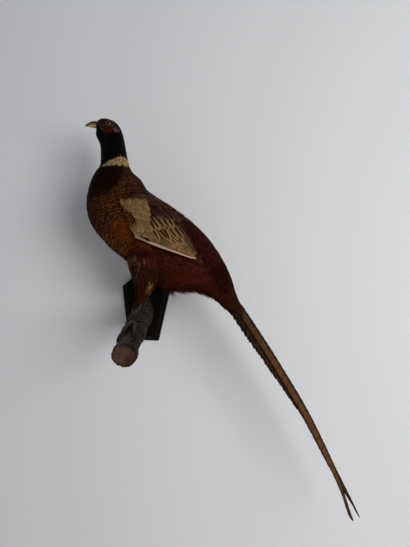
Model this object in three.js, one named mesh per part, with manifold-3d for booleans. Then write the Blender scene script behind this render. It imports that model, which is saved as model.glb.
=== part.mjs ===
// A mounted cock pheasant (Phasianus colchicus) on a cut branch, held by a small tapered wall board.
//
// Millimetres, +Z up. The origin is on the board's back face, which lies on the wall plane y = 0.
// The bird stands across the branch and looks along -X, parallel to the wall, so its left side faces -Y.
// Every flesh piece is drawn at the outside of its feathers. Neighbours that touch keep a gap of 0.3 mm.
import * as THREE from "three";
import { mergeVertices } from "three/addons/utils/BufferGeometryUtils.js";
import Module from "manifold-3d";

const wasm = await Module();
wasm.setup();

// ---------- driving dimensions ----------
const GAP = 0.3; // clearance between touching solids
const MIDLINE_Y = -124; // the bird's plane of symmetry, parallel to the wall
const LEG_SPREAD = 24.5; // each leg's distance from that plane
const BOARD_DEPTH = 20; // wall to the front of the board
const SIDES = { left: -1, right: 1 }; // direction of each side along Y

const bird = new THREE.Group();
const v = (x, y, z) => new THREE.Vector3(x, y, z);
const onMidline = (x, z) => v(x, MIDLINE_Y, z);

const COLOURS = {
  crown: 0x2b2a1c, neckGreen: 0x0d2320, ring: 0xd6c59a, copper: 0x6b2f17, chestnut: 0x5a1f12,
  sand: 0xb9a06a, wingEdge: 0xcdb58c, wattle: 0x8a2018, horn: 0xc2ae84, eye: 0x9a5a1c,
  thigh: 0x5e3215, shank: 0x8d8468, claw: 0x3c342a, tail: 0x7d6440, bark: 0x6a5f50, board: 0x17110e,
};
const finish = (color, roughness = 0.8) =>
  new THREE.MeshStandardMaterial({ color, roughness, metalness: 0 });

function addNode(name, geometry, color, roughness) {
  const mesh = new THREE.Mesh(geometry, finish(color, roughness));
  mesh.name = name;
  bird.add(mesh);
  return mesh;
}

// ---------- closed skins through rings of points ----------
// Each ring is a closed loop with the same number of points. The end caps join point i to point n - i,
// which suits round rings and thin strips alike.
function skin(rings) {
  const n = rings[0].length;
  const positions = rings.flat().flatMap((p) => [p.x, p.y, p.z]);
  const index = [];
  rings.slice(1).forEach((_, r) => {
    for (let i = 0; i < n; i++) {
      const j = (i + 1) % n;
      const [a, b, c, d] = [r * n + i, r * n + j, (r + 1) * n + j, (r + 1) * n + i];
      index.push(a, b, c, a, c, d);
    }
  });
  const cap = (first, flip) => {
    for (let i = 0; i < n / 2 - 1; i++) {
      const quad = [i, i + 1, n - 2 - i, n - 1 - i].map((k) => first + k);
      const [a, b, c, d] = flip ? quad : quad.reverse();
      if (b !== c) index.push(a, b, c);
      if (a !== d && c !== d) index.push(a, c, d);
    }
  };
  cap(0, false);
  cap((rings.length - 1) * n, true);
  const geometry = new THREE.BufferGeometry();
  geometry.setAttribute("position", new THREE.Float32BufferAttribute(positions, 3));
  geometry.setIndex(index);
  return signedVolume(geometry) < 0 ? turnedOut(geometry) : geometry;
}

function signedVolume(geometry) {
  const p = geometry.getAttribute("position");
  const at = (i) => new THREE.Vector3().fromBufferAttribute(p, i);
  let six = 0;
  const index = geometry.index.array;
  for (let i = 0; i < index.length; i += 3)
    six += at(index[i]).dot(at(index[i + 1]).cross(at(index[i + 2])));
  return six / 6;
}

function turnedOut(geometry) {
  const index = geometry.index.array;
  for (let i = 0; i < index.length; i += 3) [index[i + 1], index[i + 2]] = [index[i + 2], index[i + 1]];
  return geometry;
}

// ---------- joins and cuts ----------
function solid(geometry) {
  const bare = geometry.clone();
  bare.deleteAttribute("normal");
  bare.deleteAttribute("uv");
  const merged = mergeVertices(bare, 1e-4);
  const mesh = new wasm.Mesh({
    numProp: 3,
    vertProperties: Float32Array.from(merged.getAttribute("position").array),
    triVerts: Uint32Array.from(merged.index.array),
  });
  return new wasm.Manifold(mesh);
}

function geometryOf(manifold) {
  const mesh = manifold.getMesh();
  const geometry = new THREE.BufferGeometry();
  geometry.setAttribute("position", new THREE.Float32BufferAttribute(mesh.vertProperties, 3));
  geometry.setIndex(new THREE.Uint32BufferAttribute(mesh.triVerts, 1));
  return geometry;
}

// The biggest body of a cut solid, without the slivers that a cut can leave.
const biggest = (manifold) =>
  manifold.decompose().reduce((a, b) => (a.volume() > b.volume() ? a : b));

// A smooth closed outline in the XZ plane, extruded across one side of the bird.
function sidePrism(outline, side) {
  const points = outline.map(([x, z]) => new THREE.Vector2(x, z));
  const shape = new THREE.Shape();
  shape.moveTo(points[0].x, points[0].y);
  shape.splineThru([...points.slice(1), points[0]]);
  const depth = 120;
  const prism = new THREE.ExtrudeGeometry(shape, { depth, bevelEnabled: false, curveSegments: 3, steps: 1 });
  prism.rotateX(Math.PI / 2);
  prism.translate(0, MIDLINE_Y + (side > 0 ? depth : 0), 0);
  return solid(prism);
}

// An oval ring from a dorsal to a ventral point, with its first point dorsal. It can be grown all round, and
// its breadth can lie more towards its top.
function bodyRing(dorsal, ventral, halfWidth, count, grow = 0, top = 0) {
  const centre = dorsal.clone().add(ventral).multiplyScalar(0.5);
  const up = dorsal.clone().sub(ventral);
  const halfDepth = up.length() / 2 + grow;
  up.normalize();
  return Array.from({ length: count }, (_, i) => {
    const a = (2 * Math.PI * i) / count;
    const across = (halfWidth + grow) * Math.sin(a) * (1 + top * Math.cos(a));
    return centre.clone().addScaledVector(up, halfDepth * Math.cos(a)).add(v(0, across, 0));
  });
}

// ---------- head, neck, trunk and rump: one run of sections, parted by thin cuts ----------
// Each section: dorsal x and z, ventral x and z, half width.
const BODY_SECTIONS = [
  [-75.2, 357.6, -74.8, 344.0, 7], // bill base
  [-69.5, 361.5, -76.5, 338.0, 10.5], // forehead and chin
  [-60.4, 363.5, -78.0, 330.0, 13.5], // eye and throat lappet
  [-47.6, 359.8, -73.0, 321.0, 15.5], // ear
  [-36.2, 349.0, -70.0, 312.5, 17], // nape
  [-29.0, 333.6, -69.0, 302.0, 19], // upper neck
  [-25.0, 314.5, -68.8, 289.5, 21.5],
  [-22.0, 296.5, -69.0, 278.5, 24], // upper edge of the white ring
  [-17.0, 273.3, -71.5, 270.5, 27], // lower edge of the white ring
  [-8.0, 260.8, -81.5, 257.0, 36], // mantle
  [9.0, 247.8, -89.0, 238.0, 46], // shoulder
  [17.5, 230.0, -94.5, 210.0, 54],
  [38.5, 216.4, -92.8, 180.0, 59], // wing joint
  [64.5, 198.8, -79.5, 152.5, 61],
  [90.5, 180.3, -56.0, 127.0, 60],
  [114.6, 159.9, -28.0, 103.5, 57],
  [135.2, 137.6, 4.0, 78.0, 52], // thigh
  [150.5, 115.4, 43.0, 49.0, 46],
  [163.3, 93.0, 83.0, 41.0, 39], // vent
  [174.2, 68.8, 113.0, 41.5, 31],
  [181.2, 44.8, 141.0, 28.5, 24], // tail coverts
  [187.2, 27.2, 161.0, 10.0, 18.5],
  [195.0, 14.4, 174.5, -3.5, 16], // where the tail comes out
];
const STATION = { headEnd: 4.4, ringTop: 7, ringLow: 8, rumpStart: 17.5, end: 22 };
const BODY_RING_POINTS = 24;
const BACK_BREADTH = 0.07; // the body is a little broader above its middle

const sectionCurve = (column) =>
  new THREE.CatmullRomCurve3(BODY_SECTIONS.map(column), false, "catmullrom", 0.5);
const dorsalLine = sectionCurve(([x, z]) => onMidline(x, z));
const ventralLine = sectionCurve(([, , x, z]) => onMidline(x, z));
const widthLine = sectionCurve(([, , , , w]) => v(w, 0, 0));

function bodyRingAt(station, grow = 0) {
  const t = station / (BODY_SECTIONS.length - 1);
  const [dorsal, ventral, width] = [dorsalLine, ventralLine, widthLine].map((line) => line.getPoint(t));
  return bodyRing(dorsal, ventral, width.x, BODY_RING_POINTS, grow, BACK_BREADTH);
}

// The sections from one station to another, in even steps of two thirds of a section or less.
function bodyRun(from, to, grow = 0) {
  const steps = Math.max(2, Math.ceil((to - from) * 1.5));
  const stations = Array.from({ length: steps + 1 }, (_, i) => from + ((to - from) * i) / steps);
  return skin(stations.map((station) => bodyRingAt(station, grow)));
}

const CUT = 0.012; // half a parting cut, in stations
const wholeBody = (grow) => solid(bodyRun(0, STATION.end, grow));
const bodyWithGap = wholeBody(GAP);

let head = solid(bodyRun(0, STATION.headEnd - CUT));

// ---------- bill: an upper half with a hooked tip over a shorter lower half ----------
const BILL_SECTIONS = {
  // x, top z, bottom z, half width
  upper: [
    [-75.5, 357.2, 351.0, 6.6], [-80.5, 357.5, 350.6, 6.0], [-86.0, 356.5, 350.2, 5.0],
    [-91.0, 354.3, 349.6, 3.8], [-94.4, 352.2, 348.8, 2.3], [-96.2, 350.4, 348.3, 1.0],
  ],
  lower: [
    [-75.8, 350.6, 344.8, 5.8], [-80.5, 350.2, 345.2, 5.2], [-85.5, 349.8, 346.1, 4.2],
    [-89.5, 349.3, 347.1, 2.9], [-92.0, 348.8, 347.7, 1.4],
  ],
};
for (const [half, sections] of Object.entries(BILL_SECTIONS)) {
  const rings = sections.map(([x, top, low, w]) => bodyRing(onMidline(x, top), onMidline(x, low), w, 12));
  addNode(`bill_${half}`, geometryOf(solid(skin(rings)).subtract(bodyWithGap)), COLOURS.horn, 0.45);
}

// ---------- eyes: glass balls sunk in the head ----------
const EYE = { x: -52.4, z: 349.2, radius: 5.4, outFromMidline: 9.7 };
function eyeBall(side, radius) {
  const ball = new THREE.SphereGeometry(radius, 12, 8);
  ball.rotateX(Math.PI / 2);
  return solid(ball.translate(EYE.x, MIDLINE_Y + side * EYE.outFromMidline, EYE.z));
}

// ---------- wattles: bare red skin round each eye and over the cheek ----------
const WATTLE_DEPTH = 1;
const WATTLE_OUTLINE = [
  [-70, 350.5], [-61, 355], [-51, 356], [-43.5, 351.5], [-41, 343.5], [-46, 336], [-55, 332.5], [-64, 336.5],
];
const paddedHead = wholeBody(WATTLE_DEPTH);

// ---------- ear tufts: short horns of feather behind the eyes, laid back on the nape ----------
const EAR_TUFT = { root: v(-47, 11, 353.5), tip: v(-38, 12.9, 344.5), radius: 2.3, flatness: 0.8 };
function earTuft(side) {
  const rings = [0, 0.35, 0.7, 1].map((t) => {
    const centre = EAR_TUFT.root.clone().lerp(EAR_TUFT.tip, t);
    centre.setY(MIDLINE_Y + side * centre.y);
    const r = EAR_TUFT.radius * Math.max(0.16, Math.sin(Math.PI * (0.25 + 0.72 * t)));
    const [top, low] = [r, -r].map((dz) => centre.clone().add(v(0, 0, dz)));
    return bodyRing(top, low, r * EAR_TUFT.flatness, 8);
  });
  return solid(skin(rings));
}

for (const [name, side] of Object.entries(SIDES)) {
  const tuft = earTuft(side).subtract(bodyWithGap);
  const wattle = sidePrism(WATTLE_OUTLINE, side)
    .intersect(paddedHead)
    .subtract(bodyWithGap)
    .subtract(eyeBall(side, EYE.radius + GAP));
  addNode(`eye_${name}`, geometryOf(eyeBall(side, EYE.radius)), COLOURS.eye, 0.1);
  addNode(`wattle_${name}`, geometryOf(biggest(wattle.subtract(earTuft(side)))), COLOURS.wattle, 0.7);
  addNode(`ear_tuft_${name}`, geometryOf(biggest(tuft)), COLOURS.neckGreen, 0.6);
  head = head.subtract(eyeBall(side, EYE.radius + GAP));
}
addNode("head", geometryOf(biggest(head)), COLOURS.crown, 0.6);
addNode("neck", bodyRun(STATION.headEnd + CUT, STATION.ringTop - CUT), COLOURS.neckGreen, 0.4);
addNode("neck_ring", bodyRun(STATION.ringTop + CUT, STATION.ringLow - CUT), COLOURS.ring, 0.8);
addNode("trunk", bodyRun(STATION.ringLow + CUT, STATION.rumpStart - CUT), COLOURS.copper, 0.7);
addNode("rump", bodyRun(STATION.rumpStart + CUT, STATION.end), COLOURS.chestnut, 0.7);

// ---------- wings: folded against the trunk, in three overlapping thicknesses of feather ----------
const WING_OUTLINE = [
  [-18, 195], [-11, 205], [1, 209.5], [15, 208.5], [36, 203], [62, 188], [86, 165], [101, 132], [111, 95],
  [79, 106], [45, 119], [16, 134], [-1, 151], [-13.5, 176],
];
// Lines in the XZ plane that part the thicknesses: a point on each, and its lean in radians from upright.
const COVERT_LINE = { x: 36, z: 165, lean: 0.28 }; // where the coverts end
const PRIMARY_LINE = { x: 44, z: 131, lean: 1.07 }; // where the primaries show under the secondaries

// Everything on one side of such a line, as a large box.
function halfSpace({ x, z, lean }, keep) {
  const size = 600;
  const box = new THREE.BoxGeometry(size, size, size);
  box.translate((keep * size) / 2, 0, 0);
  box.rotateY(-lean);
  return solid(box.translate(x + (keep * GAP) / 2, MIDLINE_Y, z));
}

const FRONT = halfSpace(COVERT_LINE, -1);
const REAR = halfSpace(COVERT_LINE, 1);
const WING_PARTS = {
  coverts: { thickness: 8, within: FRONT, colour: COLOURS.sand },
  secondaries: { thickness: 6.5, within: REAR.intersect(halfSpace(PRIMARY_LINE, 1)), colour: COLOURS.sand },
  primaries: { thickness: 5, within: REAR.intersect(halfSpace(PRIMARY_LINE, -1)), colour: COLOURS.wingEdge },
};
for (const [part, { thickness, within, colour }] of Object.entries(WING_PARTS)) {
  const shell = wholeBody(thickness).subtract(bodyWithGap).intersect(within);
  for (const [name, side] of Object.entries(SIDES)) {
    const piece = biggest(shell.intersect(sidePrism(WING_OUTLINE, side)));
    addNode(`wing_${name}_${part}`, geometryOf(piece), colour);
  }
}

// ---------- branch: a cut stub that stands out from the board and dips a little ----------
const BRANCH_BASE = v(2.7, -BOARD_DEPTH - GAP, -6.5);
const BRANCH_END = v(-3.2, -240, -54.8);
const BRANCH_RADII = [
  // share of the length, radius
  [0, 31], [0.12, 27.5], [0.25, 24], [0.4, 21.8], [0.55, 20.6], [0.7, 19.2], [0.85, 18.4], [1, 20],
];
const branchAxis = BRANCH_END.clone().sub(BRANCH_BASE).normalize();
const branchUp = v(0, 0, 1).addScaledVector(branchAxis, -branchAxis.z).normalize();
const branchSide = new THREE.Vector3().crossVectors(branchAxis, branchUp); // towards the bird's front

function branchRadius(along, angle) {
  const k = BRANCH_RADII.findIndex(([t]) => t >= along) || 1;
  const [[t0, r0], [t1, r1]] = [BRANCH_RADII[k - 1], BRANCH_RADII[k]];
  const r = r0 + ((r1 - r0) * (along - t0)) / (t1 - t0);
  const lumps = 0.035 * Math.sin(2 * angle + 5 * along) + 0.022 * Math.sin(5 * angle - 3 + 7 * along);
  return r * (1 + lumps);
}

// A point over the branch. Angle 0 is its top and a positive angle turns towards the bird's front.
function overBranch(along, angle, lift) {
  const r = branchRadius(along, angle) + lift;
  return BRANCH_BASE.clone()
    .lerp(BRANCH_END, along)
    .addScaledVector(branchUp, r * Math.cos(angle))
    .addScaledVector(branchSide, r * Math.sin(angle));
}

const BRANCH_RING_POINTS = 18;
const BRANCH_STATIONS = [0.06, 0.13, 0.23, 0.35, 0.48, 0.6, 0.72, 0.85, 0.94, 0.985];
const END_ROUNDING = 1.6;
function branchRing(along, extra) {
  const turns = Array.from({ length: BRANCH_RING_POINTS }, (_, i) => (2 * Math.PI * i) / BRANCH_RING_POINTS);
  return turns.map((a) => overBranch(along, a, extra));
}

// The first ring is pressed flat on the board's face.
function branchSolid(extra) {
  const flat = branchRing(0, 0).map((p) => v(p.x, -BOARD_DEPTH - GAP, p.z));
  const rings = BRANCH_STATIONS.map((t) => branchRing(t, extra));
  return solid(skin([flat, ...rings, branchRing(1, extra - END_ROUNDING)]));
}
addNode("branch", geometryOf(branchSolid(0)), COLOURS.bark, 0.9);
const branchWithGap = branchSolid(GAP);

// ---------- board: tapered, with cut upper corners and a raised, bevelled field ----------
const BOARD = { middleX: -2, foot: [31, -67], shoulder: [48, 45], top: [27, 66], backDepth: 9 };
const FIELD = { inset: 1.5, bevel: 7, sunk: 2 }; // the raised middle, a little smaller than the back slab
const BOARD_TILT = (3.4 * Math.PI) / 180; // it hangs a little askew, pulled round by the tail
function boardShape() {
  const right = [BOARD.foot, BOARD.shoulder, BOARD.top];
  const corners = [...right, ...right.map(([x, z]) => [-x, z]).reverse()];
  const centre = new THREE.Vector2();
  const turned = corners.map(([x, z]) => new THREE.Vector2(x, z).rotateAround(centre, -BOARD_TILT));
  return new THREE.Shape(turned.map((corner) => corner.add(new THREE.Vector2(BOARD.middleX, 0))));
}
const backSlab = new THREE.ExtrudeGeometry(boardShape(), { depth: BOARD.backDepth, bevelEnabled: false });
const field = new THREE.ExtrudeGeometry(boardShape(), {
  depth: BOARD.backDepth - FIELD.sunk,
  bevelThickness: BOARD_DEPTH - BOARD.backDepth + FIELD.sunk,
  bevelSize: FIELD.bevel,
  bevelOffset: -FIELD.bevel - FIELD.inset,
  bevelSegments: 3,
});
const inFrontOfWall = new THREE.BoxGeometry(300, 300, BOARD_DEPTH).translate(0, 0, BOARD_DEPTH / 2);
const board = solid(field).add(solid(backSlab)).intersect(solid(inFrontOfWall));
addNode("board", geometryOf(board).rotateX(Math.PI / 2), COLOURS.board, 0.5);

// ---------- legs ----------
// Where each foot stands along the branch, and the way its middle toe points: 0 degrees is over the branch
// towards the bird's front, 90 is along the branch towards its cut end. The right foot stands higher.
const FEET = { left: { station: 0.575, heading: 60 }, right: { station: 0.355, heading: 18 } };
const FOOT_LEAN = -0.08; // the foot's middle is a little behind the branch's top, in radians
const FOOT_LIFT = 5.4;
const HOCK_FROM_FOOT = v(25.5, 0, 57);
const KNEE_FROM_HOCK = v(-9, 0, 9); // the start of the bone that the thigh hides
const KNEE_RADIUS = 4.6;
const SHANK_RINGS = [
  // share of the way from hock to foot, radius
  [0, 5.6], [0.25, 3.9], [0.5, 3.5], [0.75, 3.5], [0.92, 4.4], [1, 5.2],
];
const SPUR = { place: 0.66, length: 11, rise: 3.5, radius: 2.6 };
const THIGH_SECTIONS = [
  // x, z, half length along X, half width along Y, all from the foot
  [17, 122, 34, 22], [17, 106, 33, 22], [17.5, 91, 29.5, 20.5], [18, 77, 25.5, 18.5], [16.8, 62.7, 19.8, 15],
  [12.8, 48.5, 12.6, 11], [9.6, 39.5, 9.6, 8.5], [7.6, 33.5, 7.4, 6.6],
];
const TOES = {
  // length without the claw, first radius, and how far it turns outwards from the middle toe, in degrees
  middle: { length: 52, radius: 3.7, turn: 0 },
  inner: { length: 38, radius: 3.4, turn: -40 },
  outer: { length: 43, radius: 3.4, turn: 40 },
  hind: { length: 17, radius: 2.7, turn: 172 },
};
const TOE_STEPS = [0, 0.2, 0.4, 0.6, 0.8, 1];
const TOE_TAPER = 0.34;
const TOE_START = 2; // from the foot's middle
const CLAW_RINGS = [
  // beyond the toe, height over the branch, radius
  [0.5, 2.4, 1.9], [5, 2.6, 1.5], [11, 1, 0.45],
];

// A round tube along points, with a radius at each one.
function tube(points, radii, count = 7) {
  const curve = new THREE.CatmullRomCurve3(points);
  const steps = points.length;
  const rings = Array.from({ length: steps + 1 }, (_, i) => {
    const t = i / steps;
    const centre = curve.getPoint(t);
    const at = t * (radii.length - 1);
    const k = Math.min(radii.length - 2, Math.floor(at));
    const r = THREE.MathUtils.lerp(radii[k], radii[k + 1], at - k);
    const [n, b] = frameAt(curve, t);
    return Array.from({ length: count }, (_, j) => {
      const a = (2 * Math.PI * j) / count;
      return centre.clone().addScaledVector(n, r * Math.cos(a)).addScaledVector(b, r * Math.sin(a));
    });
  });
  return solid(skin(rings));
}

// Two directions square to a curve. They turn steadily because they follow one fixed direction.
function frameAt(curve, t) {
  const along = curve.getTangent(t);
  const fixed = Math.abs(along.y) < 0.9 ? v(0, 1, 0) : v(1, 0, 0);
  const n = fixed.addScaledVector(along, -fixed.dot(along)).normalize();
  return [n, new THREE.Vector3().crossVectors(along, n)];
}

// Walks over the branch from the foot's middle. A heading of 0 goes round towards the bird's front, 90 goes
// along the branch towards its cut end.
function toePath(station, heading, distances, lifts) {
  const branchLength = BRANCH_END.distanceTo(BRANCH_BASE);
  const turn = THREE.MathUtils.degToRad(heading);
  return distances.map((d, i) => {
    const along = station + (d * Math.sin(turn)) / branchLength;
    const round = (d * Math.cos(turn)) / branchRadius(station, 0);
    return overBranch(along, round, lifts[i]);
  });
}

for (const [name, side] of Object.entries(SIDES)) {
  const { station, heading } = FEET[name];
  const foot = overBranch(station, FOOT_LEAN, FOOT_LIFT);
  const hock = foot.clone().add(HOCK_FROM_FOOT).setY(MIDLINE_Y + side * LEG_SPREAD);
  const knee = hock.clone().add(KNEE_FROM_HOCK);
  const shankPoints = [knee, ...SHANK_RINGS.map(([t]) => hock.clone().lerp(foot, t))];
  const shankRadii = [KNEE_RADIUS, ...SHANK_RINGS.map(([, r]) => r)];
  const shank = tube(shankPoints, shankRadii, 9).subtract(branchWithGap).subtract(bodyWithGap);
  const shankWithGap = tube(shankPoints, shankRadii.map((r) => r + GAP), 9);

  const thighRings = THIGH_SECTIONS.map(([x, z, halfX, halfY]) => {
    const [front, rear] = [-halfX, halfX].map((dx) => v(foot.x + x + dx, hock.y, foot.z + z));
    return bodyRing(front, rear, halfY, 12);
  });
  const thigh = solid(skin(thighRings)).subtract(bodyWithGap).subtract(shankWithGap);
  addNode(`thigh_${name}`, geometryOf(biggest(thigh)), COLOURS.thigh);
  addNode(`tarsus_${name}`, geometryOf(biggest(shank)), COLOURS.shank);

  const spurRoot = hock.clone().lerp(foot, SPUR.place);
  const spurPoints = [[0, 0, 0], [0.55, 2, 0.3], [1, 3, 1]].map(([reach, out, rise]) =>
    spurRoot.clone().add(v(reach * SPUR.length, -side * out, rise * SPUR.rise)),
  );
  const spur = tube(spurPoints, [1, 0.7, 0.2].map((share) => share * SPUR.radius), 6);
  addNode(`spur_${name}`, geometryOf(biggest(spur.subtract(shankWithGap))), COLOURS.claw, 0.5);

  let taken = shankWithGap.add(branchWithGap);
  for (const [toeName, { length, radius, turn }] of Object.entries(TOES)) {
    const toeHeading = heading - side * turn;
    const radii = TOE_STEPS.map((t) => radius * (1 - TOE_TAPER * t));
    const distances = TOE_STEPS.map((t) => TOE_START + t * (length - TOE_START));
    const path = toePath(station, toeHeading, distances, radii.map((r) => r + GAP));
    const [beyond, heights, clawRadii] = [0, 1, 2].map((column) => CLAW_RINGS.map((ring) => ring[column]));
    const clawPath = toePath(station, toeHeading, beyond.map((d) => length + d), heights);
    const claw = tube(clawPath, clawRadii).subtract(branchWithGap);
    addNode(`toe_${name}_${toeName}`, geometryOf(biggest(tube(path, radii).subtract(taken))), COLOURS.shank);
    addNode(`claw_${name}_${toeName}`, geometryOf(biggest(claw)), COLOURS.claw, 0.5);
    taken = taken.add(tube(path, radii.map((r) => r + GAP)));
  }
}

// ---------- tail: long folded feathers, like a steep roof, each pair shorter than the one over it ----------
const TAIL_RIDGE = [
  [192.5, 20], [216.5, -17], [255.5, -76.5], [309.5, -165.5], [339, -225], [366.5, -284.5], [405, -371],
];
const WEB_SLOPE = (55 * Math.PI) / 180; // how steeply the two sides of the roof fall
const VANE_THICKNESS = 0.8;
const LAYER_STEP = 1.4;
const WEB_BOW = 0.25; // each web is a little hollow underneath
const TAIL_FEATHERS = [
  // length as a share of the ridge, where the web starts and ends down the slope
  { reach: 1, from: 2.4, to: 18.5 },
  { reach: 0.6, from: 4.5, to: 22.5 },
  { reach: 0.5, from: 8, to: 26.5 },
  { reach: 0.38, from: 11, to: 29.5 },
  { reach: 0.25, from: 14, to: 31.5 },
];
const TIP_DROP = { [-1]: 5, 1: -4.5 }; // the two long tips part: the left one drops
const ridge = new THREE.CatmullRomCurve3(TAIL_RIDGE.map(([x, z]) => onMidline(x, z)));

// How wide a feather is along its length. The long middle pair narrows all the way. The others stay broad
// almost to the tip.
const LONG_TAPER = { power: 2.6, round: 1 };
const SHORT_TAPER = { power: 4, round: 0.7 };
const TIP_SHARE = 0.35; // how far across its width a short feather's tip lies
const LEAST_WIDTH = 1.2;

function tailFeather(pair, side) {
  const { reach, from, to } = TAIL_FEATHERS[pair];
  const isLong = pair === 0;
  const steps = isLong ? 13 : 6;
  const taper = isLong ? LONG_TAPER : SHORT_TAPER;
  const tip = from + (isLong ? 0 : TIP_SHARE) * (to - from);
  const rings = Array.from({ length: steps + 1 }, (_, i) => {
    const t = i / steps;
    const centre = ridge.getPointAt(Math.max(0.0006, t * reach));
    const along = ridge.getTangentAt(t * reach);
    const down = v(along.z, 0, -along.x); // towards the belly side
    const out = v(0, side, 0);
    const [sine, cosine] = [Math.sin(WEB_SLOPE), Math.cos(WEB_SLOPE)];
    const slope = down.clone().multiplyScalar(sine).addScaledVector(out, cosine);
    const inward = down.clone().multiplyScalar(cosine).addScaledVector(out, -sine);
    const base = centre.clone().addScaledVector(inward, pair * LAYER_STEP);
    if (isLong) base.addScaledVector(down, TIP_DROP[side] * Math.pow(t, 6));
    const share = Math.pow(1 - Math.pow(t, taper.power), taper.round);
    const near = tip + (from - tip) * share;
    const far = Math.max(tip + (to - tip) * share, near + LEAST_WIDTH);
    const middle = (near + far) / 2;
    const point = (w, h) => base.clone().addScaledVector(slope, w).addScaledVector(inward, h);
    return [
      point(near, 0), point(middle, -WEB_BOW), point(far, 0),
      point(far, VANE_THICKNESS), point(middle, VANE_THICKNESS - WEB_BOW), point(near, VANE_THICKNESS),
    ];
  });
  return skin(rings);
}

for (const [name, side] of Object.entries(SIDES))
  TAIL_FEATHERS.forEach((_, pair) => {
    const feather = biggest(solid(tailFeather(pair, side)).subtract(bodyWithGap));
    addNode(`tail_${name}_${pair + 1}`, geometryOf(feather), COLOURS.tail, 0.7);
  });

export default bird;
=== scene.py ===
# A mounted cock pheasant on a cut branch, held by a small dark wall board.
# Metres, +Z up. The wall is the plane y = 0, and the bird looks along -X with its left side to the front.
import math

import bmesh
import bpy
import numpy as np
from mathutils import Matrix, Vector, noise
from mathutils.bvhtree import BVHTree


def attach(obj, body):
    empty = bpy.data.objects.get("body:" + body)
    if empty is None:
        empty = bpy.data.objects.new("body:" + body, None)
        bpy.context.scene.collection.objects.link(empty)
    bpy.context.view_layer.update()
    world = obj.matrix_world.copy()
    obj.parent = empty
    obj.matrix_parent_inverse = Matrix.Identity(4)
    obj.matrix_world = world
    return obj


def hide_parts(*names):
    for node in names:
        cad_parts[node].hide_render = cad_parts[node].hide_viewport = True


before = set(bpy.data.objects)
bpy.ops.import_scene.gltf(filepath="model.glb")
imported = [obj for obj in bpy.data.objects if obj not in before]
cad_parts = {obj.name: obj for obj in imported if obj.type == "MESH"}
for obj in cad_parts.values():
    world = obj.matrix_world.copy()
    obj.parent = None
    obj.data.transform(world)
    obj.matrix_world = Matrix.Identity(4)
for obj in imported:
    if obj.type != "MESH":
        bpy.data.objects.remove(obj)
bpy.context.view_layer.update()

# ---------- camera ----------
# Level and square to the wall, a little under a metre in front of the mount. It sees an upright frame, so the
# sensor's width lies along the frame's height.
camera = bpy.data.objects.new("camera", bpy.data.cameras.new("camera"))
camera.location = (0.125, -0.885, 0.075)
camera.rotation_euler = (math.radians(90), 0, 0)
camera.data.sensor_width = 36
camera.data.lens = 36 * 410 / 547
camera.data.clip_start = 0.01
bpy.context.scene.collection.objects.link(camera)
bpy.context.scene.camera = camera

# ---------- wall board ----------
# A small tapered plaque of hardwood, stained nearly black and waxed, with its upper corners cut off. Its edge
# is worked into two steps round a flat field. It hangs flat on the wall, a little askew.
BOARD_CORNERS = [(32.5, -67), (51, 45), (29, 66)]  # the right half, in mm from the middle
BOARD_MIDDLE = -0.0028
BOARD_TILT = math.radians(3.4)
BOARD_SLAB = 0.009
BOARD_STEPS = [  # how far in and how far up each part of the moulding goes
    (0.0012, 0), (0.0006, 0.0024), (0.0016, 0.0012), (0.0012, 0), (0.0005, 0.0018),
    (0.0022, 0.0030), (0.0012, 0), (0.0005, 0.0012), (0.0010, 0.0014),
]


def add(tree, kind, inputs=None, **settings):
    """Adds a shader node. Each input is a value, or the socket that feeds it."""
    made = tree.nodes.new("ShaderNode" + kind)
    for name, value in settings.items():
        setattr(made, name, value)
    for name, value in (inputs or {}).items():
        if isinstance(value, bpy.types.NodeSocket):
            tree.links.new(value, made.inputs[name])
        else:
            made.inputs[name].default_value = value
    return made


def calc(tree, how, a, b=0.0):
    """One step of arithmetic on two values."""
    return add(tree, "Math", {0: a, 1: b}, operation=how).outputs[0]


def plus(tree, a, b):
    return calc(tree, "ADD", a, b)


def minus(tree, a, b):
    return calc(tree, "SUBTRACT", a, b)


def times(tree, a, b):
    return calc(tree, "MULTIPLY", a, b)


def mixed(tree, share, a, b):
    """Colour a with a share of colour b."""
    return add(tree, "Mix", {0: share, 6: a, 7: b}, data_type="RGBA").outputs[2]


def eased(tree, value, low, high, to_low=0.0, to_high=1.0):
    """A value brought smoothly from one range to another."""
    sockets = {"Value": value, 1: low, 2: high, 3: to_low, 4: to_high}
    return add(tree, "MapRange", sockets, interpolation_type="SMOOTHSTEP").outputs[0]


def paint(red, green, blue):
    """A colour as the eye reads it, 0 to 255, brought to the light it reflects."""
    light = (((c / 255 + 0.055) / 1.055) ** 2.4 if c > 10 else c / 255 / 12.92 for c in (red, green, blue))
    return (*light, 1)


def ramp(tree, value, stops):
    """Colours along a value."""
    made = add(tree, "ValToRGB", {0: value})
    band = made.color_ramp
    while len(band.elements) < len(stops):
        band.elements.new(0.5)
    for element, (place, colour) in zip(band.elements, stops):
        element.position, element.color = place, colour
    return made.outputs[0]


def grains(tree, coordinates, scale, detail=3.0, rough=0.6, twist=0.0):
    """Cloudy noise, about 0.5 in the middle."""
    sockets = {
        "Vector": coordinates, "Scale": scale, "Detail": detail, "Roughness": rough, "Distortion": twist
    }
    return add(tree, "TexNoise", sockets).outputs[0]


def mapped(tree, coordinates, scale=(1, 1, 1), turn=(0, 0, 0)):
    """Coordinates turned and stretched."""
    sockets = {"Vector": coordinates, "Rotation": turn, "Scale": scale}
    return add(tree, "Mapping", sockets).outputs[0]


def finish(name, roughness=0.7, **numbers):
    """A new material, its node tree, its shader and its own object coordinates."""
    made = bpy.data.materials.new(name)
    made.use_nodes = True
    tree = made.node_tree
    shader = tree.nodes["Principled BSDF"]
    shader.inputs["Roughness"].default_value = roughness
    for label, value in numbers.items():
        shader.inputs[label.replace("_", " ")].default_value = value
    return made, tree, shader, add(tree, "TexCoord").outputs["Object"]


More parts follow.
